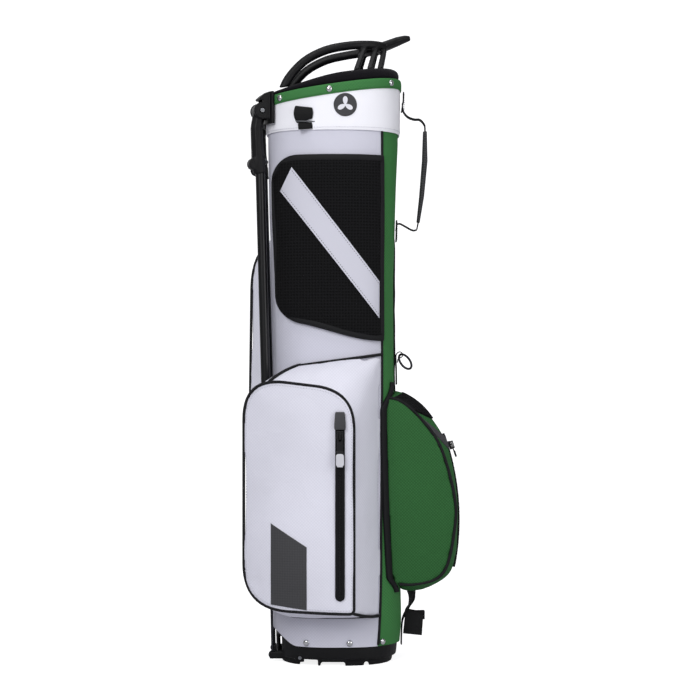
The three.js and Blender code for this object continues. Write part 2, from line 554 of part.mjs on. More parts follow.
const bracketParts = [];
for (const [label, side] of [["near", -1], ["far", 1]]) {
  const { inward, out, at } = legFrame(side);
  const hz = LEG_HINGE.z;
  for (const end of [-1, 1]) {
    const from = end * (ARM_HALF + GAP);
    const to = end * (ARM_HALF + GAP + EAR.thick);
    const ear = rod(at(from, 0, hz), at(to, 0, hz), EAR.r, 20);
    const webCentre = (from + to) / 2;
    const web = strip([
      { p: at(webCentre, -14, hz - 3), side: V(0, 0, 1), width: 17, thick: EAR.thick },
      { p: at(webCentre, -4, hz - 1), side: V(0, 0, 1), width: 21, thick: EAR.thick },
    ]);
    bracketParts.push(ear, web);
  }
  const capHalf = ARM_HALF + GAP + EAR.thick;
  bracketParts.push(strip([
    { p: at(0, -13, hz + 24), side: inward, width: 2 * capHalf, thick: 6 },
    { p: at(0, -4, hz + 21), side: inward, width: 2 * capHalf, thick: 5 },
    { p: at(0, 3, hz + 15.5), side: inward, width: 2 * capHalf, thick: 4 },
  ]));
  for (const end of [-1, 1]) {
    bracketParts.push(strip([
      { p: at(end * (capHalf - EAR.thick / 2), -10, hz + 4), side: out, width: 15, thick: EAR.thick },
      { p: at(end * (capHalf - EAR.thick / 2), -6, hz + 22), side: out, width: 13, thick: EAR.thick },
    ]));
  }
  const pinEnd = capHalf + 1.5;
  add(`${label}_leg_pin`, rod(at(-pinEnd, 0, hz), at(pinEnd, 0, hz), 3, 12), steel);
  const bore = rod(at(-30, 0, hz), at(30, 0, hz), 3 + GAP, 12);
  bracketParts.push({ bore });

  const pinZ = hz - ROD_PIN_DROP;
  const shank = strip([
    { p: at(0, 1, hz), side: inward, width: 2 * ARM_HALF, thick: 18 },
    { p: at(0, 5, hz - 24), side: inward, width: 2 * ARM_HALF, thick: 18 },
    { p: at(0, 4, hz - 52), side: inward, width: 2 * ARM_HALF + 2, thick: 18 },
    { p: at(0, 2.5, hz - 72), side: inward, width: 2 * ARM_HALF + 3, thick: 20 },
    { p: at(0, 1, hz - 87), side: inward, width: 2 * ARM_HALF + 2, thick: 18.5 },
  ], 8);
  const hub = rod(at(-ARM_HALF, 0, hz), at(ARM_HALF, 0, hz), 11, 20);
  const knuckle = rod(at(-ARM_HALF + 1, 9, hz - 74), at(ARM_HALF - 1, 9, hz - 74), 8.5, 16);
  const high = V(LEG_HIGH.x, side * LEG_HINGE.y, LEG_HIGH.z);
  const low = V(LEG_LOW.x, side * LEG_HINGE.y, LEG_LOW.z);
  const socket = rod(low, high.clone().setZ(LEG_HIGH.z + 0.5), LEG_TUBE_R + 0.3, 16);
  const rodPin = rod(at(0, -ROD_PIN_IN + 2, pinZ), at(ARM_HALF + 2, -ROD_PIN_IN, pinZ), 4, 12);
  const rodPinEnd = rod(at(ARM_HALF, -ROD_PIN_IN, pinZ), at(ROD_OFFSET + 3.2, -ROD_PIN_IN, pinZ), 2.4, 12);
  add(`${label}_leg_arm`, cut(join(shank, hub, knuckle, rodPin, rodPinEnd), socket, bore), blackPlastic);
  add(`${label}_leg_tube`, rod(low, high, LEG_TUBE_R, 16), legPaint);
  const axis = high.clone().sub(low).normalize();
  const foot = rod(low.clone().addScaledVector(axis, -10), low.clone().addScaledVector(axis, 26), 9.4, 16, 8.6);
  add(`${label}_leg_foot`, cut(foot, rod(low.clone().addScaledVector(axis, -0.3), high, LEG_TUBE_R + 0.3, 16)), rubber);

  const eye = at(ROD_OFFSET, -ROD_PIN_IN, pinZ);
  const fork = V(FORK_PIN.x, side * ROD_Y, FORK_PIN.z);
  const topEye = rod(at(ROD_OFFSET - 2.2, -ROD_PIN_IN, pinZ), at(ROD_OFFSET + 2.2, -ROD_PIN_IN, pinZ), 5.4, 16);
  const lowEye = rod(fork.clone().setY(side * ROD_Y - 2), fork.clone().setY(side * ROD_Y + 2), 6, 16);
  const topBore = rod(at(0, -ROD_PIN_IN, pinZ), at(30, -ROD_PIN_IN, pinZ), 2.4 + GAP, 12);
  const lowBore = rod(fork.clone().setY(side * ROD_Y - 9), fork.clone().setY(side * ROD_Y + 9), 4.4, 16);
  add(`${label}_push_rod`, cut(join(rod(fork, eye, ROD_R, 10), topEye, lowEye), topBore, lowBore), steel);
}
const bracketSolid = join(bracketPlate, ...bracketParts.filter((g) => !g.bore));
const legRoom = [-1, 1].map((side) => {
  const { at } = legFrame(side);
  return rod(at(-ARM_HALF - GAP, 0, LEG_HINGE.z), at(ARM_HALF + GAP, 0, LEG_HINGE.z), 12.4, 24);
});
const bandRoom = bodyBlock(BRACKET.inner + 0.8, 700, 830, 48, []);
add("leg_bracket", cut(bracketSolid, ...bracketParts.filter((g) => g.bore).map((g) => g.bore), ...legRoom, bandRoom),
  blackPlastic);

// ---------------------------------------------------------------- straps, ring and clip on the cuff and the spine
const CARRY_Y = -8;
const carry = (points, side = V(0, 1, 0)) => points.map(([x, z, width, thick]) => ({ p: V(x, CARRY_Y, z), side, width, thick }));
add("carry_tab_top", strip(carry([[94.6, 800, 24, 2], [94.6, 782, 24, 2], [95.2, 775, 24, 2]])), webbing);
add("carry_tab_low", strip(carry([[84.4, 620, 24, 2], [84, 600, 24, 2], [83.6, 590, 24, 2]])), webbing);
const carryPath = [
  [97.4, 772, 19, 1.8], [102, 766, 19, 1.8], [110, 763, 19, 1.8], [117, 762.5, 19, 1.8], [122.6, 757, 19, 1.8],
  [124.6, 748, 19, 1.8], [124.2, 704, 19, 1.8], [119.8, 654, 19, 1.8], [114, 612, 19, 1.8], [110.6, 606.4, 19, 1.8],
  [105, 607, 19, 1.8], [96, 612, 19, 1.8], [88.4, 616, 19, 1.8],
];
add("carry_handle", strip(carry(carryPath)), webbing);
const grip = strip(carry([[124.5, 746, 26, 6], [124.2, 704, 30, 8.5], [119.8, 654, 30, 7.5], [114.8, 617, 26, 5]]), 8);
const gripCore = strip(carry([
  [124.62, 752, 19.8, 2.6], [124.55, 746, 19.8, 2.6], [124.2, 704, 19.8, 2.6], [119.8, 654, 19.8, 2.6], [113.8, 611, 19.8, 2.6],
]));
add("carry_grip", cut(grip, gripCore), rubber);

const RING = { x: 89.5, z: 430, r: 12, wire: 1.6, tilt: THREE.MathUtils.degToRad(38) };
const ring = new THREE.TorusGeometry(RING.r, RING.wire, 8, 24).rotateY(Math.PI / 2)
  .translate(0, 0, -RING.r)
  .rotateY(-RING.tilt)
  .translate(RING.x, 0, RING.z);
add("towel_ring", ring, chrome);
add("towel_tab", cut(
  join(box([81.2, -7, 398], [82.8, 7, 426]), box([81.2, -3, 424], [RING.x + 4, 3, 436])),
  rod(V(RING.x, -20, RING.z), V(RING.x, 20, RING.z), 2.5, 12),
), webbing);

const CLIP = { x: -44, z: 753, turn: THREE.MathUtils.degToRad(6) };
const clipFace = depthAt(790, CLIP.x, 2.4 + GAP);
const onClip = (g) => g.rotateZ(-0.2).translate(CLIP.x, -clipFace - 0.6, CLIP.z);
add("clip_body", onClip(join(box([-14, -6, -2], [14, 0.4, 15]), box([-10, -4, -13], [10, 0.2, 0]))), webbing);
add("clip_bar", onClip(box([-15, -7.6, -5], [15, -6 - GAP, -1.5])), chrome);

// Chrome rivets through the collar and the base hem.
const rivetShape = () => new THREE.LatheGeometry(
  [[0, 0], [4.4, 0], [4.2, 0.9], [2.9, 2], [0, 2.5]].map(([x, y]) => new THREE.Vector2(x, y)), 10,
);
function rivet(name, x, z, grow, side) {
  const y = depthAt(z, x, grow);
  const slope = (depthAt(z, x + 0.5, grow) - depthAt(z, x - 0.5, grow));
  const normal = V(-slope, 1, 0).normalize();
  const g = rivetShape().applyQuaternion(new THREE.Quaternion().setFromUnitVectors(V(0, 1, 0), V(normal.x, side * normal.y, 0)));
  add(name, g.translate(x, side * y, z), chrome);
}
[-79, -10, 76].forEach((x, i) => {
  rivet(`cuff_rivet_near_${i + 1}`, x, rimZ(x) - 7, 4.2 + GAP, -1);
  rivet(`cuff_rivet_far_${i + 1}`, x, rimZ(x) - 7, 4.2 + GAP, 1);
});
[-42, 18, 64].forEach((x, i) => rivet(`base_rivet_near_${i + 1}`, x, 33, GAP, -1));
[18, 64].forEach((x, i) => rivet(`base_rivet_far_${i + 1}`, x, 33, GAP, 1));

// ---------------------------------------------------------------- shoulder strap, on the far side of the spine
// Each station is [x, y, z, width, thickness, turn], where the turn in degrees faces the webbing from +Y to +X.
// The webbing follows one smooth curve through them.
function strapStrip(list, steps, corners) {
  const path = new THREE.CatmullRomCurve3(list.map(([x, y, z]) => V(x, y, z)), false, "centripetal");
  const last = list.length - 1;
  const count = last * steps;
  return strip(Array.from({ length: count + 1 }, (_, k) => {
    const i = Math.min(last - 1, Math.floor(k / steps));
    const t = k / steps - i;
    const [width, thick, turn] = [3, 4, 5].map((n) => list[i][n] + (list[i + 1][n] - list[i][n]) * t);
    const a = THREE.MathUtils.degToRad(turn);
    return { p: path.getPoint(k / count), side: V(-Math.cos(a), Math.sin(a), 0), width, thick };
  }), corners);
}
add("strap_webbing", strapStrip([
  [40, 85, 762, 30, 2, 15], [41, 85.5, 735, 30, 2, 18], [47, 91, 690, 30, 2, 40], [56, 97, 640, 30, 2, 60],
  [60, 98, 560, 30, 2, 66], [60, 98, 400, 30, 2, 66], [60.5, 97, 280, 28, 2, 66], [70, 90, 200, 26, 2, 66],
  [88, 78, 132, 26, 2, 66], [100, 66, 104, 25, 2, 68], [107, 49, 88, 25, 2, 74], [107, 33, 77, 25, 2, 84],
  [101, 21, 67, 25, 2, 90], [95.2, 17, 57, 25, 2, 90], [92.6, 16, 46, 25, 2, 90], [91.6, 16, 18, 25, 2, 90],
], 4), webbing);
add("strap_pad", strapStrip([
  [60, 103.5, 664, 36, 9, 56], [65.5, 103, 640, 46, 14, 62], [69.6, 103, 600, 50, 16, 66], [70.2, 102.6, 560, 50, 16, 66],
  [70.2, 102.6, 400, 50, 16, 66], [70, 102.2, 340, 50, 16, 66], [69, 101.6, 310, 46, 14, 66], [67.4, 100.8, 290, 36, 9, 66],
], 2, 8), spacerMesh);
add("strap_buckle", box([97, 2, 44], [100.5, 32, 57]), blackPlastic);
add("strap_tail", strapStrip([
  [114, 6.5, 54, 22, 1.8, 8], [114, 6.2, 60, 22, 1.8, 8], [113.5, 4, 65, 23, 1.8, 8], [112, 0.5, 66.5, 24, 1.8, 8],
  [109.5, -2.5, 60, 26, 1.8, 6], [107, -4.5, 34, 27, 1.8, 6],
], 3), webbing);
export default bag;
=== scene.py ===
"""A golf stand bag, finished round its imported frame. Metres, +Z up, with the base on the floor.
The stand legs are on the -X side, the spine and its ball pocket on the +X side, and the hip pad faces -Y."""

import math

import bmesh
import bpy
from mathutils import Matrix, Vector, noise
from mathutils.bvhtree import BVHTree


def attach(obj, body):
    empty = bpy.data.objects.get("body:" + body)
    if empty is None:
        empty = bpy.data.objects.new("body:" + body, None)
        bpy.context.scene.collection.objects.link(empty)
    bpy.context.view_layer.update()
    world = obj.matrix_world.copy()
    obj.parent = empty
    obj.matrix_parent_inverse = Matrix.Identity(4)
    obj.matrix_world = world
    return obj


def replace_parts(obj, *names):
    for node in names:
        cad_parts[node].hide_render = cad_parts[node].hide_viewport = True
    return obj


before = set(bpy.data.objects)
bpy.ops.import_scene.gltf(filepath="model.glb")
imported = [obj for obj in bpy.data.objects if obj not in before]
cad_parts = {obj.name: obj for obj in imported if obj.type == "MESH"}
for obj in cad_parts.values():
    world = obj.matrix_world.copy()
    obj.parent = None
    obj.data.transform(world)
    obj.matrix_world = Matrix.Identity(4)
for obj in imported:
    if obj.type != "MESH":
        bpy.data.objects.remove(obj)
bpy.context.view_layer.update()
scene = bpy.context.scene

# ------------------------------------------------------------------ studio
# A white sweep and four soft boxes, with the camera level at half the bag's height. The paper and the sky
# look brighter to the camera than they light the bag.
EYE_HEIGHT = 0.437
EYE_DISTANCE = 2.6
EYE_ACROSS = 0.0185
VIEW_WIDTH = 0.994


def linear(hex_colour):
    channels = [int(hex_colour[i : i + 2], 16) / 255 for i in (1, 3, 5)]
    return (*[c / 12.92 if c <= 0.04045 else ((c + 0.055) / 1.055) ** 2.4 for c in channels], 1.0)


def add_node(tree, kind, inputs=None, **settings):
    """Adds a node, with its settings and its inputs, which are values or other nodes' outputs."""
    node = tree.nodes.new(kind)
    for key, value in settings.items():
        setattr(node, key, value)
    for key, value in (inputs or {}).items():
        if isinstance(value, bpy.types.NodeSocket):
            tree.links.new(value, node.inputs[key])
        else:
            node.inputs[key].default_value = value
    return node


def ranged(tree, value, before=(0.0, 1.0), after=(0.0, 1.0)):
    """A value stretched from one range onto another."""
    limits = {"From Min": before[0], "From Max": before[1], "To Min": after[0], "To Max": after[1]}
    return add_node(tree, "ShaderNodeMapRange", {"Value": value, **limits}).outputs[0]


def texture(tree, kind, where, settings=None, **inputs):
    """A pattern node of a kind, read at the given coordinates."""
    return add_node(tree, f"ShaderNodeTex{kind}", {"Vector": where, **inputs}, **(settings or {}))


def new_finish(name):
    """An empty material, with its node tree, its shader and a source of object coordinates."""
    finish = bpy.data.materials.new(name)
    finish.use_nodes = True
    tree = finish.node_tree
    shader = next(n for n in tree.nodes if n.type == "BSDF_PRINCIPLED")
    where = add_node(tree, "ShaderNodeTexCoord").outputs["Object"]
    return finish, tree, shader, where


camera_data = bpy.data.cameras.new("camera")
camera_data.lens = 36.0 * EYE_DISTANCE / VIEW_WIDTH
camera_data.dof.use_dof = False
camera = bpy.data.objects.new("camera", camera_data)
camera.location = (EYE_ACROSS, -EYE_DISTANCE, EYE_HEIGHT)
camera.rotation_euler = (math.pi / 2, 0, 0)
scene.collection.objects.link(camera)
scene.camera = camera
scene.view_settings.view_transform = "Standard"

world = bpy.data.worlds.new("studio")
world.use_nodes = True
sky = world.node_tree.nodes["Background"]
sky.inputs["Color"].default_value = linear("#ffffff")
seen = add_node(world.node_tree, "ShaderNodeLightPath")
strength = ranged(world.node_tree, seen.outputs["Is Camera Ray"], after=(0.24, 1.0))
world.node_tree.links.new(strength, sky.inputs["Strength"])
scene.world = world


def soft_box(name, place, target, size, watts):
    lamp = bpy.data.lights.new(name, "AREA")
    lamp.shape = "RECTANGLE"
    lamp.size, lamp.size_y = size
    lamp.energy = watts
    holder = bpy.data.objects.new(name, lamp)
    holder.location = place
    holder.rotation_euler = (Vector(target) - Vector(place)).to_track_quat("-Z", "Y").to_euler()
    scene.collection.objects.link(holder)


soft_box("key", (-1.0, -2.5, 1.9), (0, 0, 0.5), (1.3, 1.5), 49)
soft_box("fill", (1.9, -1.7, 1.0), (0, 0, 0.45), (1.2, 1.8), 20)
soft_box("top", (0.0, -0.3, 2.4), (0, 0, 0.6), (1.6, 1.2), 14)
soft_box("rim", (-1.3, 1.6, 1.4), (0, 0, 0.5), (0.8, 1.6), 4)

floor_paper, tree, shader, _ = new_finish("white_seamless_paper")
shader.inputs["Base Color"].default_value = linear("#c4c4c8")
shader.inputs["Roughness"].default_value = 0.9
seen = add_node(tree, "ShaderNodeLightPath")
strength = ranged(tree, seen.outputs["Is Camera Ray"], after=(0.06, 0.85))
glow = add_node(tree, "ShaderNodeEmission", {"Color": linear("#ffffff"), "Strength": strength})
both = add_node(tree, "ShaderNodeAddShader", {0: shader.outputs[0], 1: glow.outputs[0]})
tree.links.new(both.outputs[0], next(n for n in tree.nodes if n.type == "OUTPUT_MATERIAL").inputs["Surface"])
sweep = bpy.data.meshes.new("sweep")
FLOOR_FRONT, FLOOR_BACK, SWEEP_R, WALL_TOP = -4.0, 1.6, 1.2, 6.0
bends = [i * math.pi / 24 for i in range(13)]
bend = [(FLOOR_BACK + SWEEP_R * math.sin(a), SWEEP_R - SWEEP_R * math.cos(a)) for a in bends]
sweep_rows = [(FLOOR_FRONT, 0.0)] + bend + [(FLOOR_BACK + SWEEP_R, WALL_TOP)]
sweep.from_pydata(
    [(x, y, z) for y, z in sweep_rows for x in (-5.0, 5.0)],
    [],
    [(2 * i, 2 * i + 1, 2 * i + 3, 2 * i + 2) for i in range(len(sweep_rows) - 1)],
)
sweep.materials.append(floor_paper)
for face in sweep.polygons:
    face.use_smooth = True
floor = bpy.data.objects.new("floor", sweep)
scene.collection.objects.link(floor)

# ------------------------------------------------------------------ tube
# The body is a tube of woven polyester over thin foam. A white panel wraps the front, the leg side and the
# back, and a green one runs down the spine. Black piping is sewn into both seams.
MM = 0.001
SQUARENESS = 2.4
BODY_HALF_WIDTH, BODY_HALF_DEPTH = 92, 80
# height: distance to the leg side and to the spine side, half depth, and the angle of the seam in degrees
STATIONS = [
    (0, 88, 87, 78, 54), (20, 90, 89, 79, 54), (60, 92, 91, 80, 53), (110, 86, 90, 79, 51),
    (190, 84, 86, 77, 48),
    (300, 86, 82, 76, 44), (434, 89, 80, 76, 41.5), (540, 92, 80, 77, 42), (620, 96, 82, 78, 43),
    (680, 97, 84, 80, 45),
    (740, 98, 87, 83, 47.5), (850, 98, 87, 84, 47.5),
]
HEM_Z, HEM_RISE = 27, 21
SHELL_TOP = 750
SHELL_WALL = 3.0
FABRIC_GAP = 0.4


def smooth(low, high, value):
    t = min(1.0, max(0.0, (value - low) / (high - low)))
    return t * t * (3 - 2 * t)


def station(z):
    """The body's outline numbers at a height, along straight lines with eased corners."""
    z = min(max(z, 0), 849.9)
    totals = [0.0] * 4
    reach = 14.0
    for step in (-1, -0.5, 0, 0.5, 1):
        level = min(max(z + step * reach, 0), 849.9)
        i = next(k for k in range(len(STATIONS) - 1) if STATIONS[k + 1][0] > level)
        low, high = STATIONS[i], STATIONS[i + 1]
        t = (level - low[0]) / (high[0] - low[0])
        for k in range(4):
            totals[k] += (low[k + 1] + (high[k + 1] - low[k + 1]) * t) / 5
    return totals


def eased(value, power):
    return math.copysign(abs(value) ** power, value)


def outline(z, degrees, grow=0.0):
    leg, spine, depth, _ = station(z)
    angle = math.radians(degrees)
    c, n = math.cos(angle), math.sin(angle)
    power = 2 / SQUARENESS
    return eased(c, power) * ((leg if c < 0 else spine) + grow), eased(n, power) * (depth + grow)


def depth_at(z, x, grow=0.0):
    leg, spine, depth, _ = station(z)
    share = min(1.0, abs(x) / ((leg if x < 0 else spine) + grow))
    return (depth + grow) * (1 - share**SQUARENESS) ** (1 / SQUARENESS)


def outwards(p):
    """Away from the body's axis, at a point near its surface."""
    return Vector((p.x / BODY_HALF_WIDTH**2, p.y / BODY_HALF_DEPTH**2, 0)).normalized()


def slab(nu, nv, at, closed=False):
    """Points and faces of a closed sheet: at(u, v, w) is a point on its inner side (w 0) or its outer side
    (w 1)."""
    columns = nu if closed else nu + 1
    points = [at(i / nu, j / nv, w) for w in (0, 1) for i in range(columns) for j in range(nv + 1)]
    spot = lambda i, j, w: w * columns * (nv + 1) + (i % columns) * (nv + 1) + j
    faces = []
    for i in range(nu):
        for j in range(nv):
            faces.append((spot(i, j, 1), spot(i + 1, j, 1), spot(i + 1, j + 1, 1), spot(i, j + 1, 1)))
            faces.append((spot(i, j, 0), spot(i, j + 1, 0), spot(i + 1, j + 1, 0), spot(i + 1, j, 0)))
        faces.append((spot(i, 0, 0), spot(i + 1, 0, 0), spot(i + 1, 0, 1), spot(i, 0, 1)))
        faces.append((spot(i, nv, 1), spot(i + 1, nv, 1), spot(i + 1, nv, 0), spot(i, nv, 0)))
    if not closed:
        for j in range(nv):
            faces.append((spot(0, j, 0), spot(0, j, 1), spot(0, j + 1, 1), spot(0, j + 1, 0)))
            faces.append((spot(nu, j, 1), spot(nu, j, 0), spot(nu, j + 1, 0), spot(nu, j + 1, 1)))
    return points, faces


def new_piece(name, points, faces, finish, body="bag", slot=None, edge_angle=40):
    """A mesh piece from points in millimetres. It is shaded smooth up to the edge angle, and rides on a
    body."""
    mesh = bpy.data.meshes.new(name)
    mesh.from_pydata([Vector(p) * MM for p in points], [], faces)
    work = bmesh.new()
    work.from_mesh(mesh)
    bmesh.ops.recalc_face_normals(work, faces=work.faces)
    work.to_mesh(mesh)
    work.free()
    mesh.materials.append(finish)
    thing = bpy.data.objects.new(name, mesh)
    scene.collection.objects.link(thing)
    shade(mesh, edge_angle)
    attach(thing, body)
    return thing


def shade(mesh, edge_angle=40):
    for face in mesh.polygons:
        face.use_smooth = True
    mesh.set_sharp_from_angle(angle=math.radians(edge_angle))


def tube_along(points, radius, sides=8, closed=False):
    """Points and faces of a round cord along a path in millimetres."""
    path = [Vector(p) for p in points]
    count = len(path)
    rings, across = [], None
    for i, p in enumerate(path):
        before = path[i - 1] if closed or i else p
        after = path[(i + 1) % count] if closed or i + 1 < count else p
        along = (after - before).normalized()
        if across is None:
            across = along.orthogonal().normalized()
        across = (across - along * across.dot(along)).normalized()
        up = along.cross(across)
        rings.append([p + across * math.cos(a) * radius + up * math.sin(a) * radius
                      for a in [2 * math.pi * k / sides for k in range(sides)]])
    return lofted(rings, closed)


def lofted(rings, closed=False):
    """Points and faces through rings with the same number of points, with flat ends unless it closes on
    itself."""
    sides = len(rings[0])
    points = [p for ring in rings for p in ring]
    faces = []
    spans = len(rings) if closed else len(rings) - 1
    for k in range(spans):
        a, b = k * sides, ((k + 1) % len(rings)) * sides
        for i in range(sides):
            j = (i + 1) % sides
            faces.append((a + i, a + j, b + j, b + i))
    if not closed:
        faces.append(tuple(range(sides - 1, -1, -1)))
        faces.append(tuple(range((len(rings) - 1) * sides, len(rings) * sides)))
    return points, faces


def creased(thing, depth, size, seed, along=(1, 1, 1)):
    """Moves the surface in and out by a smooth noise, as fabric lies over foam. Depth and size in
    millimetres."""
    mesh = thing.data
    stretch = Vector(along)
    moves = []
    for v in mesh.vertices:
        spot = Vector((v.co.x * stretch.x, v.co.y * stretch.y, v.co.z * stretch.z)) / (size * MM)
        moves.append(noise.noise(spot + Vector((seed, 0, 0))) * depth * MM)
    for v, move, normal in zip(mesh.vertices, moves, [v.normal.copy() for v in mesh.vertices]):
        v.co += normal * move


def on_cloth(tree, where):
    """Flat cloth coordinates: height, and the distance along whichever side the surface faces."""
    facing = add_node(tree, "ShaderNodeTexCoord").outputs["Normal"]
    size = add_node(tree, "ShaderNodeVectorMath", {0: facing}, operation="ABSOLUTE")
    side = add_node(tree, "ShaderNodeSeparateXYZ", {0: size.outputs[0]})
    place = add_node(tree, "ShaderNodeSeparateXYZ", {0: where})
    sideways = add_node(tree, "ShaderNodeMath", {0: side.outputs["X"], 1: side.outputs["Y"]},
                        operation="GREATER_THAN")
    along = add_node(tree, "ShaderNodeMix",
                     {"Factor": sideways.outputs[0], "A": place.outputs["X"], "B": place.outputs["Y"]})
    return add_node(tree, "ShaderNodeCombineXYZ", {"X": along.outputs[0], "Y": place.outputs["Z"]}).outputs[0]


def scaled(colour, share):
    return tuple(min(1.0, share * c) for c in linear(colour)[:3]) + (1.0,)


def two_tone(tree, shader, pattern, first, second):
    """Colours a finish from one colour to another by a pattern."""
    mix = add_node(tree, "ShaderNodeMix", {"Factor": pattern, "A": first, "B": second}, data_type="RGBA")
    tree.links.new(mix.outputs["Result"], shader.inputs["Base Color"])


def raised(tree, shader, *layers):
    """Raises a finish by layers of (pattern, strength, depth in metres), each laid over the one before."""
    under = {}
    for pattern, strength, depth in layers:
        bump = add_node(tree, "ShaderNodeBump",
                        {"Height": pattern, "Strength": strength, "Distance": depth, **under})
        under = {"Normal": bump.outputs[0]}
    tree.links.new(bump.outputs[0], shader.inputs["Normal"])


def set_gloss(shader, roughness, specular):
    shader.inputs["Roughness"].default_value = roughness
    shader.inputs["Specular IOR Level"].default_value = specular


def woven_polyester(name, colour, shade_colour):
    """Polyester dobby, woven in small diamond cells, with soft creases. Its real cells are 2.4 mm, drawn at
    3."""
    finish, tree, shader, where = new_finish(name)
    cloth = add_node(tree, "ShaderNodeMapping",
                     {"Vector": on_cloth(tree, where), "Rotation": (0, 0, math.pi / 4)}).outputs[0]
    cells = texture(tree, "Voronoi", cloth, {"voronoi_dimensions": "2D"}, Scale=1 / 0.003, Randomness=0.1)
    cell_ramp = ranged(tree, cells.outputs["Distance"], (0.2, 0.65))
    drift = texture(tree, "Noise", where, Scale=9.0, Detail=3.0)
    weave = add_node(tree, "ShaderNodeMix", {"Factor": cell_ramp, "A": colour, "B": shade_colour},
                     data_type="RGBA")
    mottle = ranged(tree, drift.outputs[0], (0.3, 0.7), (0.95, 1.03))
    tint = add_node(tree, "ShaderNodeMix", {"Factor": 1.0, "A": weave.outputs["Result"], "B": (1, 1, 1, 1)},
                    data_type="RGBA", blend_type="MULTIPLY")
    tree.links.new(mottle, tint.inputs["B"])
    tree.links.new(tint.outputs["Result"], shader.inputs["Base Color"])
    creases = texture(tree, "Noise", where, Scale=26.0, Detail=4.0, Distortion=0.6)
    fine = add_node(tree, "ShaderNodeBump",
                    {"Height": cells.outputs["Distance"], "Strength": 0.22, "Distance": 0.0006}, invert=True)
    soft = add_node(tree, "ShaderNodeBump",
                    {"Height": creases.outputs[0], "Strength": 0.2, "Distance": 0.006,
                     "Normal": fine.outputs[0]})
    tree.links.new(soft.outputs[0], shader.inputs["Normal"])
    set_gloss(shader, 0.75, 0.15)
    return finish


# The pockets are a cool matt white, and the tube the same white greyed by painted shade; the cuff wrap is
# brighter and plainer. The spine is a fresh green, and the ball pocket the same green darkened by painted
# shade.
white_polyester = woven_polyester("white_polyester_dobby", linear("#dfdfeb"), linear("#d6d6e3"))
green_polyester = woven_polyester("green_polyester_dobby", linear("#417f45"), linear("#33663a"))
# The tube's white is the pockets' white, greyed as painted shade.
painted_shade_tube_white = woven_polyester("white_tube_dobby_painted_shade", linear("#cfcfdc"), linear("#c6c6d4"))
white_coated = woven_polyester("white_smooth_polyester", linear("#f2f2f9"), linear("#ededf5"))
# The ball pocket's finish is the spine's green, darkened as painted shade for the recess it sits in.
painted_shade_green = woven_polyester("painted_shade_green_polyester_dobby", linear("#316636"), linear("#254e29"))


def hem_z(x):
    return HEM_Z + HEM_RISE * smooth(55, 95, -x)


def shell_panel(start, end, columns, rows):
    def at(u, v, w):
        low = hem_z(outline(HEM_Z, start(HEM_Z) + (end(HEM_Z) - start(HEM_Z)) * u)[0])
        z = low + (SHELL_TOP - low) * v
        edge = min(1.0, 30 * min(v, 1 - v))
        x, y = outline(z, start(z) + (end(z) - start(z)) * u, (edge - 1) * 0.6 if w else -SHELL_WALL)
        return x, y, z

    return slab(columns, rows, at)


SEAM_GAP = 0.35
# The tube panel wears the pockets' white, greyed as painted shade.
body_shell = new_piece(
    "white_tube_panel",
    *shell_panel(lambda z: station(z)[3] + SEAM_GAP, lambda z: 360 - station(z)[3] - SEAM_GAP, 110, 130),
    painted_shade_tube_white, slot="white_fabric",
)
creased(body_shell, 0.8, 55, 3, (1, 1, 0.5))
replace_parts(body_shell, "body_shell")
spine_panel = new_piece(
    "green_spine_panel", *shell_panel(lambda z: -station(z)[3], lambda z: station(z)[3], 34, 130),
    green_polyester, slot="green_fabric",
)
creased(spine_panel, 0.7, 45, 8, (1, 1, 0.5))
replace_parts(spine_panel, "spine_panel")

# Piping is black woven tape folded round a thin cord.
woven_piping, tree, shader, where = new_finish("black_woven_piping")
threads = texture(tree, "Wave", where, {"bands_direction": "DIAGONAL"}, Scale=260.0, Distortion=0.4)
two_tone(tree, shader, threads.outputs[0], linear("#0d0d0f"), linear("#1d1d20"))
raised(tree, shader, (threads.outputs[0], 0.3, 0.0004))
set_gloss(shader, 0.7, 0.2)

PIPING_R = 1.9
for label, side in (("near", -1), ("far", 1)):
    seam = []
    for i in range(90):
        z = HEM_Z + 2 + (SHELL_TOP - 12 - HEM_Z) * i / 89
        x, y = outline(z, side * (station(z)[3] + SEAM_GAP / 2), 0.3)
        seam.append((x, y, z))
    new_piece(f"{label}_seam_piping", *tube_along(seam, PIPING_R), woven_piping, slot="black_webbing")

# ------------------------------------------------------------------ base
# The base is a cup of black moulded nylon that the fabric hem is riveted to. Its leg side holds a foot that
# tilts on a steel pin and pushes the legs out. Both mouldings have rounded edges and a fine spark-eroded
# grain.
def moulded_plastic(name, colour, grain, roughness):
    finish, tree, shader, where = new_finish(name)
    spark = texture(tree, "Noise", where, Scale=1 / grain, Detail=2.0)
    patches = texture(tree, "Noise", where, Scale=24.0, Detail=3.0)
    rough = ranged(tree, patches.outputs[0], (0.3, 0.7), (roughness - 0.07, roughness + 0.08))
    two_tone(tree, shader, patches.outputs[0], linear(colour), scaled(colour, 1.5))
    raised(tree, shader, (spark.outputs[0], 0.25, 0.0003))
    tree.links.new(rough, shader.inputs["Roughness"])
    shader.inputs["IOR"].default_value = 1.5
    shader.inputs["Specular IOR Level"].default_value = 0.2
    return finish


black_nylon = moulded_plastic("black_moulded_nylon", "#0c0c0e", 0.0012, 0.45)


def evaluated(thing):
    return bpy.data.meshes.new_from_object(thing.evaluated_get(bpy.context.evaluated_depsgraph_get()))


def settled(thing):
    """Applies a piece's modifiers, so that its mesh is the finished shape."""
    thing_mesh = evaluated(thing)
    thing.modifiers.clear()
    thing.data = thing_mesh
    return thing_mesh


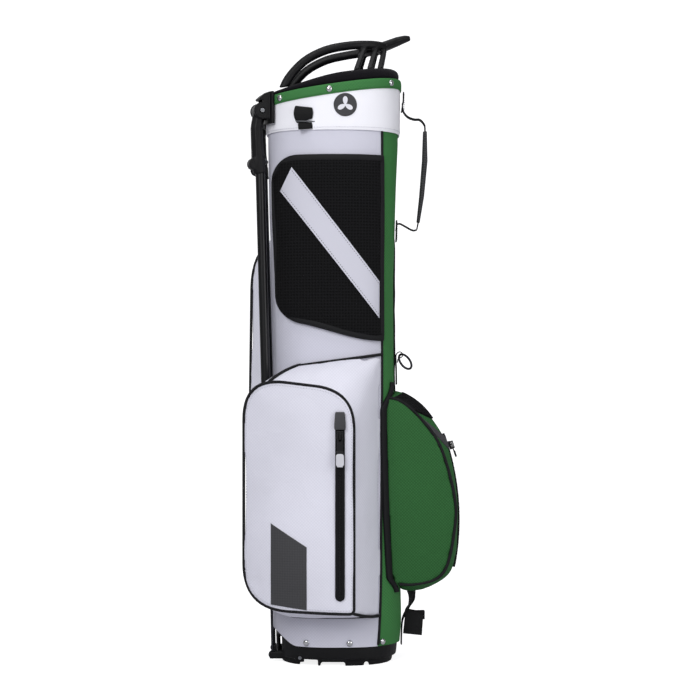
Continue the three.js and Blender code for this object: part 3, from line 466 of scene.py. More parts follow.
def skin_over(thing, voxel, finish, rounds=0):
    """Gives a piece one even skin, from voxels of a size in millimetres, eased by some rounds of
    smoothing."""
    remesh = thing.modifiers.new("skin", "REMESH")
    remesh.mode = "VOXEL"
    remesh.voxel_size = voxel * MM
    if rounds:
        ease = thing.modifiers.new("ease", "SMOOTH")
        ease.factor = 0.5
        ease.iterations = rounds
    mesh = settled(thing)
    mesh.materials.clear()
    mesh.materials.append(finish)
    shade(mesh, 180)


def rounded_moulding(name, node, voxel, rounds, finish, body):
    """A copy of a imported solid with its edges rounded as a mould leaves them, in place of the sharp one."""
    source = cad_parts[node]
    thing = bpy.data.objects.new(name, source.data.copy())
    scene.collection.objects.link(thing)
    work = bmesh.new()
    work.from_mesh(thing.data)
    bmesh.ops.remove_doubles(work, verts=work.verts, dist=1e-6)
    work.to_mesh(thing.data)
    work.free()
    skin_over(thing, voxel, finish, rounds)
    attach(thing, body)
    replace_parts(thing, node)


rounded_moulding("base_moulding", "base_cup", 1.5, 4, black_nylon, "bag")
rounded_moulding("tilting_foot", "base_foot", 1.0, 4, black_nylon, "foot")

# ------------------------------------------------------------------ cuff
# The cuff is a moulded ring with a soft padded roll of brushed knit on top, and a cross of padded dividers
# in it. A white band wraps it, and a green band is riveted over that. A small round woven patch is sewn to
# the front.
RIM_Z, RIM_SLOPE = 804, 0.14
CUFF_Z = 790
WRAP_Z = 740
BAND_HEIGHT = 14


def rim_z(x):
    return RIM_Z + RIM_SLOPE * x


def lining_rise(x):
    return 7 + 9 * smooth(-85, 10, x)


# Brushed knit has a short pile that takes nearly all the light.
brushed_knit, tree, shader, where = new_finish("black_brushed_knit")
pile = texture(tree, "Noise", where, Scale=900.0, Detail=3.0)
clumps = texture(tree, "Noise", where, Scale=120.0, Detail=2.0)
two_tone(tree, shader, pile.outputs[0], linear("#060607"), linear("#1c1a20"))
raised(tree, shader, (pile.outputs[0], 0.6, 0.001), (clumps.outputs[0], 0.4, 0.003))
set_gloss(shader, 0.95, 0.1)
shader.inputs["Sheen Weight"].default_value = 0.05

LINING = [(0.0, -0.4, -13), (0.2, 0.3, -14.5), (0.45, 0.8, -15), (0.7, 0.0, -14), (0.88, -2.4, -12),
          (1.0, -5.8, -9)]


def cuff_lining(u, v, w):
    rise, out, inner = LINING[round(v * (len(LINING) - 1))]
    x, y = outline(CUFF_Z, u * 360, out if w else inner)
    return x, y, rim_z(x) + 0.8 + (lining_rise(x) - 0.8) * rise


lining = new_piece("cuff_lining_roll", *slab(120, len(LINING) - 1, cuff_lining, closed=True), brushed_knit,
                   slot="black_mesh")
subdivide = lining.modifiers.new("soft", "SUBSURF")
subdivide.levels = subdivide.render_levels = 1
CUFF = [(738, -SHELL_WALL - 1.5, -9), (751, -SHELL_WALL - 1.5, -9), (752, -0.4, -10), (None, -0.4, -13)]


def cuff_ring(u, v, w):
    z, out, inner = CUFF[round(v * (len(CUFF) - 1))]
    x, y = outline(CUFF_Z, u * 360, out if w else inner)
    return x, y, z or rim_z(x) + 0.6


cuff = new_piece("cuff_ring", *slab(120, len(CUFF) - 1, cuff_ring, closed=True), black_nylon,
                 slot="black_plastic")
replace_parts(cuff, "top_cuff")
rounded_moulding("cuff_dividers", "cuff_divider", 1.5, 5, brushed_knit, "bag")


def cuff_wrap(u, v, w):
    x = outline(CUFF_Z, u * 360, 0)[0]
    z = WRAP_Z + (rim_z(x) - 3 - WRAP_Z) * v
    grow = FABRIC_GAP if w == 0 else 2.4 - 0.9 * (1 - min(1.0, v * 14))
    t = smooth(0, 0.6, v)
    bx, by = outline(WRAP_Z, u * 360, grow)
    tx, ty = outline(CUFF_Z, u * 360, grow)
    return bx + (tx - bx) * t, by + (ty - by) * t, z


wrap = new_piece("white_cuff_wrap", *slab(140, 20, cuff_wrap, closed=True), white_coated, slot="white_fabric")
creased(wrap, 0.5, 50, 12)
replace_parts(wrap, "cuff_wrap")


def collar(u, v, w):
    round_edge = 1.1 * (2 * v - 1) ** 4
    x, y = outline(CUFF_Z, u * 360, 4.4 - round_edge if w else 2.7)
    return x, y, rim_z(x) - BAND_HEIGHT * (1 - v)


band = new_piece("green_collar_band", *slab(140, 8, collar, closed=True), green_polyester,
                 slot="green_fabric")
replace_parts(band, "collar_band")

# A round patch with a plain three-leaf motif, in two colours of flat embroidery.
PATCH_X, PATCH_Z, PATCH_R = 12.0, 774.0, 16.0
woven_patch, tree, shader, where = new_finish("grey_embroidered_patch")
place = add_node(tree, "ShaderNodeSeparateXYZ", {0: where})
right = add_node(tree, "ShaderNodeMath", {0: place.outputs["X"], 1: PATCH_X * MM}, operation="SUBTRACT")
above = add_node(tree, "ShaderNodeMath", {0: place.outputs["Z"], 1: PATCH_Z * MM}, operation="SUBTRACT")
angle = add_node(tree, "ShaderNodeMath", {0: right.outputs[0], 1: above.outputs[0]}, operation="ARCTAN2")
turns = add_node(tree, "ShaderNodeMath", {0: angle.outputs[0], 1: 3.0}, operation="MULTIPLY")
wave = add_node(tree, "ShaderNodeMath", {0: turns.outputs[0]}, operation="COSINE")
leaf = ranged(tree, wave.outputs[0], (-1.0, 1.0), (0.0015, 0.0115))
flat_place = add_node(tree, "ShaderNodeCombineXYZ", {"X": right.outputs[0], "Y": above.outputs[0]})
reach = add_node(tree, "ShaderNodeVectorMath", {0: flat_place.outputs[0]}, operation="LENGTH")
inside = add_node(tree, "ShaderNodeMath", {0: reach.outputs["Value"], 1: leaf}, operation="LESS_THAN")
two_tone(tree, shader, inside.outputs[0], linear("#414144"), linear("#dcdce4"))
threads = texture(tree, "Wave", where, {"bands_direction": "Z"}, Scale=320.0)
raised(tree, shader, (threads.outputs[0], 0.3, 0.0003))
set_gloss(shader, 0.7, 0.2)
patch_points, patch_faces = [], []
PATCH_RINGS = [(0.0, 3.6), (8, 3.6), (14.6, 3.6), (15.8, 3.4), (PATCH_R, 3.0), (PATCH_R, 2.5), (0.0, 2.5)]
for radius, grow in PATCH_RINGS:
    for k in range(48):
        a = 2 * math.pi * k / 48
        x = PATCH_X + radius * math.sin(a)
        patch_points.append((x, -depth_at(CUFF_Z, x, grow), PATCH_Z + radius * math.cos(a)))
for r in range(len(PATCH_RINGS) - 1):
    for k in range(48):
        patch_faces.append((r * 48 + k, r * 48 + (k + 1) % 48, (r + 1) * 48 + (k + 1) % 48, (r + 1) * 48 + k))
patch = new_piece("round_patch", patch_points, patch_faces, woven_patch, slot="grey_plastic", edge_angle=50)
work = bmesh.new()
work.from_mesh(patch.data)
bmesh.ops.remove_doubles(work, verts=work.verts, dist=1e-6)
bmesh.ops.recalc_face_normals(work, faces=work.faces)
work.to_mesh(patch.data)
work.free()

# ------------------------------------------------------------------ lift handle
# The handle is one moulding: two rails that meet over the spine in a hub with a beak, on six slanted ribs.
rounded_moulding("lift_handle", "top_handle", 1.3, 6, black_nylon, "bag")

# ------------------------------------------------------------------ hip pad
# A cushion of foam under black spacer mesh, which rests on the hip. A woven tape binds its edge, and a
# plain white strip is stitched across it.
PAD_TOP, PAD_LOW_LEFT, PAD_LOW_RIGHT, PAD_CORNER = 705, 478, 451, 34
PAD_START = -151
PAD_Z = 580


def pad_low(x):
    return PAD_LOW_LEFT + (PAD_LOW_RIGHT - PAD_LOW_LEFT) * smooth(-80, 60, x)


def pad_grow(x, z):
    """How far the pad's face stands off the tube: full in the middle, and drawn in at its bound edge."""
    left = outline(PAD_Z, PAD_START)[0]
    right = outline(z, -station(z)[3])[0]
    inset = min(x - left, right - x, PAD_TOP - z, z - pad_low(x))
    return 3.0 + 5.0 * (1 - math.exp(-max(0.0, inset) / 9))


def pad_point(u, v, w):
    seam = -station(PAD_Z)[3] - 0.6
    x_left = outline(PAD_Z, PAD_START)[0]
    x_here = outline(PAD_Z, PAD_START + (seam - PAD_START) * u)[0]
    inset = min(PAD_CORNER, x_here - x_left)
    corner = PAD_CORNER - math.sqrt(max(0.0, PAD_CORNER**2 - (PAD_CORNER - inset) ** 2))
    low = pad_low(x_here) + corner
    z = low + (PAD_TOP - corner - low) * v
    turn = PAD_START + (-station(z)[3] - 0.6 - PAD_START) * u
    x, y = outline(z, turn, 0.4)
    if w:
        x, y = outline(z, turn, pad_grow(x, z))
    return x, y, z


# Spacer mesh is a net of small open holes, so it looks rougher and blacker than its binding.
spacer_mesh, tree, shader, where = new_finish("black_spacer_mesh")
holes = texture(tree, "Voronoi", on_cloth(tree, where), {"voronoi_dimensions": "2D"}, Scale=1 / 0.0042,
                Randomness=0.05)
open_part = ranged(tree, holes.outputs["Distance"], (0.18, 0.42))
two_tone(tree, shader, open_part, linear("#030304"), linear("#0f0f11"))
waves = texture(tree, "Noise", where, Scale=20.0, Detail=2.0)
raised(tree, shader, (open_part, 0.7, 0.0012), (waves.outputs[0], 0.2, 0.005))
set_gloss(shader, 0.85, 0.15)


def swollen(thing, pressure, cap, held):
    """Swells a sewn piece as its filling does, by a short cloth simulation, and no point moves more than
    the cap in millimetres. held(point) says how firmly a place is sewn down, from 0 to 1."""
    before = [v.co.copy() for v in thing.data.vertices]
    sewn = thing.vertex_groups.new(name="sewn")
    for v in thing.data.vertices:
        sewn.add([v.index], min(1.0, max(0.0, held(v.co / MM))), "REPLACE")
    cloth = thing.modifiers.new("cloth", "CLOTH")
    cloth.settings.quality = 4
    cloth.settings.mass = 0.3
    cloth.settings.use_pressure = True
    cloth.settings.uniform_pressure_force = pressure
    cloth.settings.effector_weights.gravity = 0
    cloth.settings.vertex_group_mass = "sewn"
    cloth.point_cache.frame_start, cloth.point_cache.frame_end = 1, 20
    for step in range(1, 21):
        scene.frame_set(step)
    baked = evaluated(thing)
    for v, start in zip(baked.vertices, before):
        move = v.co - start
        if move.length > cap * MM:
            v.co = start + move.normalized() * cap * MM
    thing.modifiers.clear()
    thing.vertex_groups.clear()
    thing.data = baked
    scene.frame_set(1)


def finer(thing):
    """One subdivision, applied, so that a swollen skin is smooth."""
    subdivide = thing.modifiers.new("smooth", "SUBSURF")
    subdivide.levels = subdivide.render_levels = 1
    shade(settled(thing), 180)


def surface_of(mesh):
    return BVHTree.FromPolygons([v.co for v in mesh.vertices], [tuple(f.vertices) for f in mesh.polygons])


def reseated(thing, pattern, held):
    """Draws the held places of a swollen skin back onto the shape it was cut to, so that its edges meet the
    piping."""
    cut = surface_of(pattern)
    for v in thing.data.vertices:
        v.co = v.co.lerp(cut.find_nearest(v.co)[0], min(1.0, max(0.0, held(v.co / MM))))


STRIP_MIDDLE, STRIP_FALL, STRIP_STRETCH = (-70, 673), 1.29, 1.63


def pad_held(p):
    """The pad is held along its edge, against the tube and under its strip."""
    inset = min(p.x - outline(PAD_Z, PAD_START)[0], outline(p.z, -station(p.z)[3])[0] - p.x, PAD_TOP - p.z,
                p.z - pad_low(p.x))
    behind = smooth(2.2, 1.2, -p.y - depth_at(p.z, p.x))
    from_strip = abs((p.z - STRIP_MIDDLE[1]) + (p.x - STRIP_MIDDLE[0]) * STRIP_FALL) / STRIP_STRETCH
    return max(1 - smooth(4, 12, inset), behind, 0.9 * (1 - smooth(26, 34, from_strip)))


hip_pad = new_piece("hip_pad_cushion", *slab(60, 70, pad_point), spacer_mesh, slot="black_mesh",
                    edge_angle=60)
creased(hip_pad, 0.6, 40, 21)
skin_over(hip_pad, 3.0, spacer_mesh)
swollen(hip_pad, 3.0, 2.2, pad_held)
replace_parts(hip_pad, "hip_pad")


def binding(name, path, finish, across, high, closed=True, body="bag", slot="black_webbing"):
    """A tape folded over an edge: path is [(point, towards the piece's middle, outwards)] in millimetres."""
    rings = []
    for point, inward, out in path:
        ring = []
        for k in range(12):
            a = 2 * math.pi * k / 12
            wide, thick = eased(math.cos(a), 0.6), eased(math.sin(a), 0.6)
            ring.append(point + inward * wide * across / 2 + out * thick * high / 2)
        rings.append(ring)
    return new_piece(name, *lofted(rings, closed), finish, body=body, slot=slot, edge_angle=50)


pad_edge = []
EDGE_STEPS = 60
edge_places = (
    [(i / EDGE_STEPS, 0.0) for i in range(EDGE_STEPS)] + [(1.0, i / EDGE_STEPS) for i in range(EDGE_STEPS)]
    + [(1 - i / EDGE_STEPS, 1.0) for i in range(EDGE_STEPS)]
    + [(0.0, 1 - i / EDGE_STEPS) for i in range(EDGE_STEPS)]
)
middle = Vector(pad_point(0.5, 0.5, 0))
for u, v in edge_places:
    inner = Vector(pad_point(min(0.97, max(0.03, u)), min(0.97, max(0.03, v)), 0))
    point = Vector(pad_point(u, v, 0))
    out = outwards(point)
    inward = (inner - point).normalized() if (inner - point).length > 0.1 else (middle - point).normalized()
    inward = (inward - out * inward.dot(out)).normalized()
    pad_edge.append((point + out * 2.6 + inward * 3.2, inward, out))
binding("hip_pad_binding", pad_edge, woven_piping, 9.4, 5.6)

STRIPE_LOW, STRIPE_HIGH = ((-78.5, 657), (60, 480)), ((-62, 689), (60, 531))


def stripe_point(u, v, w):
    u = min(0.995, u)
    low = [a + (b - a) * u for a, b in zip(*STRIPE_LOW)]
    high = [a + (b - a) * u for a, b in zip(*STRIPE_HIGH)]
    x, z = [a + (b - a) * v for a, b in zip(low, high)]
    return x, -depth_at(z, x, pad_grow(x, z) + (1.3 if w else 0.1)), z


# The strip is smooth coated cloth with hardly a grain.
coated_strip, tree, shader, where = new_finish("white_coated_strip")
grain = texture(tree, "Voronoi", where, Scale=1 / 0.0016)
raised(tree, shader, (grain.outputs["Distance"], 0.12, 0.0004))
shader.inputs["Base Color"].default_value = linear("#cacad6")
set_gloss(shader, 0.6, 0.2)
new_piece("hip_pad_strip", *slab(50, 8, stripe_point), coated_strip, slot="white_fabric", edge_angle=50)


def growing_tree(name, **sockets):
    """An empty geometry tree with its named inputs, and what they give."""
    tree = bpy.data.node_groups.new(name, "GeometryNodeTree")
    for socket, kind in {"Geometry": "Geometry", **sockets, "Finish": "Material"}.items():
        tree.interface.new_socket(socket, in_out="INPUT", socket_type=f"NodeSocket{kind}")
    tree.interface.new_socket("Geometry", in_out="OUTPUT", socket_type="NodeSocketGeometry")
    return tree, tree.nodes.new("NodeGroupInput").outputs


def made_real(tree, placed, given):
    """Ends a tree: the placed copies become real geometry in their own finish."""
    real = add_node(tree, "GeometryNodeRealizeInstances", {"Geometry": placed.outputs[0]})
    finished = add_node(tree, "GeometryNodeSetMaterial",
                        {"Geometry": real.outputs[0], "Material": given["Finish"]})
    out = tree.nodes.new("NodeGroupOutput")
    tree.links.new(finished.outputs[0], out.inputs[0])


def repeats_tree():
    """A node tree that sets one small rounded bead at each step along the piece's edges. Spacing is the
    step, Size is the bead across, through and along the path, and Facing is the way its thickness
    points."""
    tree, given = growing_tree("beads_along", Spacing="Float", Size="Vector", Facing="Vector")
    path = add_node(tree, "GeometryNodeMeshToCurve", {"Mesh": given["Geometry"]})
    steps = add_node(tree, "GeometryNodeCurveToPoints",
                     {"Curve": path.outputs[0], "Length": given["Spacing"]}, mode="LENGTH")
    along = add_node(tree, "FunctionNodeAlignRotationToVector", {"Vector": steps.outputs["Tangent"]},
                     axis="Z")
    turned = add_node(tree, "FunctionNodeAlignRotationToVector",
                      {"Rotation": along.outputs[0], "Vector": given["Facing"]},
                      axis="Y", pivot_axis="Z")
    bead = add_node(tree, "GeometryNodeMeshUVSphere", {"Segments": 6, "Rings": 5, "Radius": 0.5})
    smooth_bead = add_node(tree, "GeometryNodeSetShadeSmooth", {"Geometry": bead.outputs[0]})
    placed = add_node(tree, "GeometryNodeInstanceOnPoints", {
        "Points": steps.outputs["Points"], "Instance": smooth_bead.outputs[0],
        "Rotation": turned.outputs[0], "Scale": given["Size"],
    })
    made_real(tree, placed, given)
    return tree


beads_along = repeats_tree()


def grown(name, source, tree, values, body):
    """The plain mesh that a node tree makes from a source mesh, as a piece on a body."""
    seed = bpy.data.objects.new(name, source)
    scene.collection.objects.link(seed)
    nodes = seed.modifiers.new("grow", "NODES")
    nodes.node_group = tree
    for socket in tree.interface.items_tree:
        if socket.in_out == "INPUT" and socket.name in values:
            nodes[socket.identifier] = values[socket.name]
    settled(seed)
    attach(seed, body)
    return seed


def beads(name, paths, spacing, size, facing, finish, body="bag"):
    """Rows of stitches or teeth along paths in millimetres."""
    source = bpy.data.meshes.new(name)
    points, edges = [], []
    for path in paths:
        edges += [(len(points) + i, len(points) + i + 1) for i in range(len(path) - 1)]
        points += [Vector(p) * MM for p in path]
    source.from_pydata(points, edges, [])
    values = {"Spacing": spacing * MM, "Size": [v * MM for v in size], "Facing": facing, "Finish": finish}
    return grown(name, source, beads_along, values, body)


def thread(name, colour):
    """Bonded polyester sewing thread, with a slight twist in its colour."""
    finish, tree, shader, where = new_finish(name)
    twist = texture(tree, "Wave", where, {"bands_direction": "DIAGONAL"}, Scale=500.0)
    two_tone(tree, shader, twist.outputs[0], linear(colour), scaled(colour, 0.6))
    set_gloss(shader, 0.7, 0.3)
    return finish


white_thread = thread("white_sewing_thread", "#d6d6e2")
grey_thread = thread("grey_sewing_thread", "#77777f")
green_thread = thread("green_sewing_thread", "#2f5f33")
STITCH = (0.9, 0.8, 2.6)
STITCH_STEP = 3.8
strip_seams = [[stripe_point(i / 60, v, 1) for i in range(61)] for v in (0.08, 0.92)]
beads("hip_pad_strip_stitches", strip_seams, STITCH_STEP, STITCH, (0, -1, 0), grey_thread)
wrap_seam = [cuff_wrap(i / 240, 0.06, 1) for i in range(241)]
beads("cuff_wrap_stitches", [wrap_seam], STITCH_STEP, STITCH, (0, -1, 0), white_thread)
collar_seam = [collar(i / 240, 0.14, 1) for i in range(241)]
beads("collar_stitches", [collar_seam], STITCH_STEP, STITCH, (0, -1, 0), green_thread)

# ------------------------------------------------------------------ side pockets
# Two sewn box pockets: a short one for clothing on the near side and a long one on the far side. Each has a
# front panel, a gusset and black piping in both seams.
PANEL_EDGE, PANEL_BULGE = -1.0, 4.0
PANEL_SHARES = (0.992, 0.975, 0.93, 0.86, 0.76, 0.64, 0.5, 0.36, 0.22, 0.1)
POCKET_PIPING_R = 2.1


def rounded_loop(corners, steps):
    loop = []
    for i, (x, z, r) in enumerate(corners):
        here = Vector((x, z))
        before = Vector(corners[i - 1][:2])
        after = Vector(corners[(i + 1) % len(corners)][:2])
        start = here + (before - here).normalized() * r
        end = here + (after - here).normalized() * r
        for k in range(steps):
            t = k / steps
            loop.append(start * (1 - t) ** 2 + here * 2 * t * (1 - t) + end * t * t)
        nxt_x, nxt_z, nxt_r = corners[(i + 1) % len(corners)]
        nxt = Vector((nxt_x, nxt_z))
        far = nxt + (here - nxt).normalized() * nxt_r
        for k in range(steps):
            loop.append(end.lerp(far, k / steps))
    return loop


def panel_depth(x):
    share = min(1.0, max(0.0, (5 - x) / 136))
    return 131 - 41 * share**2.1 - 3 * max(0.0, (x - 5) / 19)


def crown(corners, x, z, zip_x):
    """How far the front panel swells, which is nothing along its zip."""
    xs, zs = [c[0] for c in corners], [c[1] for c in corners]
    inset = min(x - min(xs), max(xs) - x, z - min(zs), max(zs) - z)
    rise = 1.2 * (1 - math.exp(-max(0.0, inset) / 8))
    return rise + PANEL_BULGE * smooth(0, 62, inset) * smooth(0, 45, -6 - x) * smooth(9, 30, abs(x - zip_x))


def resting_on(thing, points, side, lift):
    """Lays points, in millimetres, on a piece's outer face, seen from its side of the bag."""
    skin = surface_of(thing.data)
    laid = []
    for p in points:
        hit = skin.ray_cast(Vector((p[0] * MM, side * 0.4, p[2] * MM)), Vector((0, -side, 0)))[0]
        laid.append((p[0], hit.y / MM + side * lift if hit else p[1], p[2]))
    return laid


def pocket_held(p, side, front, zip_x):
    """A pocket is held where it is sewn to the tube, along its piped front edge and beside its zip."""
    near_body = 1 - smooth(4, 14, abs(p.y) - depth_at(p.z, max(-84, min(84, p.x))))
    xs, zs = [c[0] for c in front], [c[1] for c in front]
    inset = min(p.x - min(xs), max(xs) - p.x, p.z - min(zs), max(zs) - p.z)
    at_edge = 1 - smooth(5, 16, abs(abs(p.y) - panel_depth(p.x)) + 0.4 * max(0.0, inset))
    at_zip = (1 - smooth(10, 20, abs(p.x - zip_x))) * smooth(8, 3, panel_depth(p.x) - abs(p.y))
    return max(near_body, at_edge, at_zip)


def side_pocket(label, front, back, side, node, zip_x):
    steps = 14
    outer, inner = rounded_loop(front, steps), rounded_loop(back, steps)
    gusset = []
    for a, b in zip(inner, outer):
        seam_x = min(a.x, outline(a.y, -station(a.y)[3])[0] - 0.8)
        start = Vector((seam_x, side * (depth_at(a.y, seam_x) + 0.6), a.y))
        gusset.append((start, Vector((b.x, side * (panel_depth(b.x) + PANEL_EDGE), b.y))))
    centre = sum((e for _, e in gusset), Vector()) / len(gusset)
    rings = []
    for k in range(13):
        t = k / 12
        ring = []
        for start, end in gusset:
            p = start.lerp(end, t)
            away = Vector((p.x - centre.x, 0, p.z - centre.z)).normalized()
            ring.append(p + away * 3.0 * math.sin(math.pi * t) ** 0.8)
        rings.append(ring)
    for share in PANEL_SHARES:
        ring = []
        for _, end in gusset:
            x = centre.x + (end.x - centre.x) * share
            z = centre.z + (end.z - centre.z) * share
            lift = PANEL_EDGE + 1.2 if share == PANEL_SHARES[0] else crown(front, x, z, zip_x)
            ring.append(Vector((x, side * (panel_depth(x) + lift), z)))
        rings.append(ring)
    pocket = new_piece(f"{label}_pocket_bag", *lofted(rings), white_polyester, slot="white_fabric",
                       edge_angle=70)
    creased(pocket, 1.6, 70, 31 if side < 0 else 47, (1, 1, 0.7))
    creased(pocket, 0.5, 22, 5, (1, 1, 1))
    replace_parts(pocket, node)
    held = lambda p: pocket_held(p, side, front, zip_x)
    pattern = pocket.data.copy()
    skin_over(pocket, 5.0, white_polyester)
    swollen(pocket, 4.0, 3.5, held)
    finer(pocket)
    reseated(pocket, pattern, held)
    front_seam = [e + Vector((0, side * 0.8, 0)) for _, e in gusset]
    new_piece(f"{label}_pocket_front_piping", *tube_along(front_seam, POCKET_PIPING_R, closed=True),
              woven_piping, slot="black_webbing")
    count = len(gusset)
    round_back = [gusset[k % count][0] for k in range(4 * steps + steps // 2, count + 2 * steps + steps // 2)]
    back_seam = [p + outwards(p) * 1.8 for p in round_back]
    new_piece(f"{label}_pocket_back_piping", *tube_along(back_seam, POCKET_PIPING_R), woven_piping,
              slot="black_webbing")
    ridges = {
        "top": (gusset[6 * steps][0], gusset[6 * steps + steps // 4][1]),
        "low": (gusset[2 * steps + steps // 2][0], gusset[2 * steps + steps // 2][1]),
    }
    for place, (corner_from, corner_to) in ridges.items():
        ridge = []
        for k in range(16):
            t = k / 15
            p = corner_from.lerp(corner_to, t)
            away = Vector((p.x - centre.x, 0, p.z - centre.z)).normalized()
            ridge.append(p + away * (3.0 * math.sin(math.pi * t) ** 0.8 + 1.0))
        new_piece(f"{label}_pocket_{place}_ridge_piping", *tube_along(ridge, POCKET_PIPING_R), woven_piping,
                  slot="black_webbing")
    inner_line = []
    for _, end in gusset:
        x, z = centre.x + (end.x - centre.x) * 0.955, centre.z + (end.z - centre.z) * 0.97
        inner_line.append(Vector((x, side * (panel_depth(x) + crown(front, x, z, zip_x) + 0.1), z)))
    beads(f"{label}_pocket_stitches", [resting_on(pocket, inner_line + inner_line[:1], side, 0.1)],
          STITCH_STEP, STITCH,
          (0, side, 0), white_thread)
    return pocket


APPAREL_FRONT = [(-127, 85, 60), (24, 80, 7), (24, 382, 52), (-127, 400, 58)]
APPAREL_BACK = [(-66, 69, 8), (70, 70, 2), (70, 432, 2), (-76, 412, 26)]
APPAREL_ZIP_X, GARMENT_ZIP_X = 5, -30
apparel_bag = side_pocket("apparel", APPAREL_FRONT, APPAREL_BACK, -1, "apparel_pocket", APPAREL_ZIP_X)
GARMENT_FRONT = [(-132, 78, 60), (24, 72, 7), (24, 600, 60), (-125, 622, 95)]
GARMENT_BACK = [(-66, 69, 8), (70, 70, 2), (70, 640, 2), (-76, 634, 40)]
side_pocket("garment", GARMENT_FRONT, GARMENT_BACK, 1, "garment_pocket", GARMENT_ZIP_X)

# A grey panel is printed in the front's lower corner as one flat film of ink.
PRINT_LEFT, PRINT_RIGHT = (-89, 91.5, 202), (-40, 85.5, 171)
printed_film, tree, shader, where = new_finish("grey_screen_print")
specks = texture(tree, "Voronoi", on_cloth(tree, where), {"voronoi_dimensions": "2D"}, Scale=1 / 0.0034,
                 Randomness=0.1)
two_tone(tree, shader, specks.outputs["Distance"], linear("#47474a"), linear("#39393b"))
raised(tree, shader, (specks.outputs["Distance"], 0.2, 0.0004))
set_gloss(shader, 0.6, 0.15)


def print_point(u, v, w):
    x = PRINT_LEFT[0] + (PRINT_RIGHT[0] - PRINT_LEFT[0]) * u
    low = PRINT_LEFT[1] + (PRINT_RIGHT[1] - PRINT_LEFT[1]) * u
    high = PRINT_LEFT[2] + (PRINT_RIGHT[2] - PRINT_LEFT[2]) * u
    return x, 0.7 if w else -0.4, low + (high - low) * v


film_points, film_faces = slab(24, 40, print_point)
laid = resting_on(apparel_bag, film_points, -1, 0)
film_points = [(x, y - lift, z) for (x, y, z), (_, lift, _) in zip(laid, film_points)]
new_piece("printed_panel", film_points, film_faces, printed_film, slot="grey_plastic", edge_angle=50)

# ------------------------------------------------------------------ ball pocket
# The green ball pocket stands off the spine. Its two side gussets are piped to a curved front, and black
# tape binds it to the tube. A strip of black mesh lets it breathe at the top.
ARC_X, ARC_Z, ARC_R = -185, 197, 356
BALL_HALF = 52


def arc_x(z, grow=0.0):
    return ARC_X + math.sqrt((ARC_R + grow) ** 2 - (z - ARC_Z) ** 2)


BALL_EDGE = [(60, 112), (112, 111), (149, 128), (164, 190), (163, 236), (144, 302), (117, 341), (88, 366),
             (60, 372)]
BALL_MIDDLE = [(60, 97), (117, 99),
               (156, 118)] + [(arc_x(z), z) for z in (148, 175, 205, 235, 265, 290, 312)] + [
    (124, 354), (92, 376), (60, 380)]


def spline(a, b, c, d, t):
    """The place a share t of the way from b to c, on the smooth curve through four values."""
    return 0.5 * (2 * b + (c - a) * t + (2 * a - 5 * b + 4 * c - d) * t * t + (3 * b - a - 3 * c + d) * t**3)


def through(points, count):
    """Points spaced along a smooth curve through the given ones."""
    path = [Vector(p) for p in points]
    path = [path[0] * 2 - path[1]] + path + [path[-1] * 2 - path[-2]]
    made = []
    spans = len(path) - 3
    for k in range(count + 1):
        place = spans * k / count
        i = min(spans - 1, int(place))
        made.append(spline(*path[i : i + 4], place - i))
    return made


BALL_STEPS = 64
edge_line, middle_line = through(BALL_EDGE, BALL_STEPS), through(BALL_MIDDLE, BALL_STEPS)


def ball_point(i, y, share=1.0):
    """A point of the pocket's skin: i runs along its profile, y runs across, and share draws the profile
    in."""
    t = smooth(BALL_HALF - 5, 16, abs(y)) if abs(y) > 16 else 1.0
    p = edge_line[i].lerp(middle_line[i], t)
    p = Vector((60 + (p.x - 60) * share, 238 + (p.y - 238) * share))
    _, spine, depth, _ = station(p.y)
    wall = spine * (1 - (abs(y) / depth) ** SQUARENESS) ** (1 / SQUARENESS)
    return Vector((max(p.x, wall - 0.5), y, p.y))


rings = []
gusset_shares = [(0.02, 4.0), (0.25, 4.0), (0.5, 3.6), (0.72, 2.8), (0.88, 1.6), (0.96, 0.4), (0.985, -0.6)]
for share, bulge in gusset_shares:
    rings.append([ball_point(i, -(BALL_HALF - 3 + bulge), share) for i in range(BALL_STEPS + 1)])
for k in range(29):
    y = -(BALL_HALF - 5) + 2 * (BALL_HALF - 5) * k / 28
    rings.append([ball_point(i, y) for i in range(BALL_STEPS + 1)])
for share, bulge in reversed(gusset_shares):
    rings.append([ball_point(i, BALL_HALF - 3 + bulge, share) for i in range(BALL_STEPS + 1)])
# The pocket's darker green is painted shade laid on the spine's fabric.
ball_bag = new_piece("ball_pocket_bag", *lofted(rings), painted_shade_green, slot="green_fabric", edge_angle=75)
creased(ball_bag, 2.6, 34, 61, (1, 1, 0.22))
creased(ball_bag, 0.5, 20, 15)
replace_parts(ball_bag, "ball_pocket")


def ball_held(p):
    """Sewn to the tube, along its piping, and beside its zip."""
    at_body = 1 - smooth(3, 12, p.x - 70)
    seam = min((Vector((p.x, p.z)) - e).length for e in edge_line[::3])
    at_seam = (1 - smooth(4, 14, seam)) * smooth(8, 3, abs(abs(p.y) - (BALL_HALF - 5)))
    at_zip = (1 - smooth(9, 16, abs(p.y))) * smooth(0.9, 0.97, (p.x - ARC_X) / ARC_R)
    return max(at_body, at_seam, at_zip)


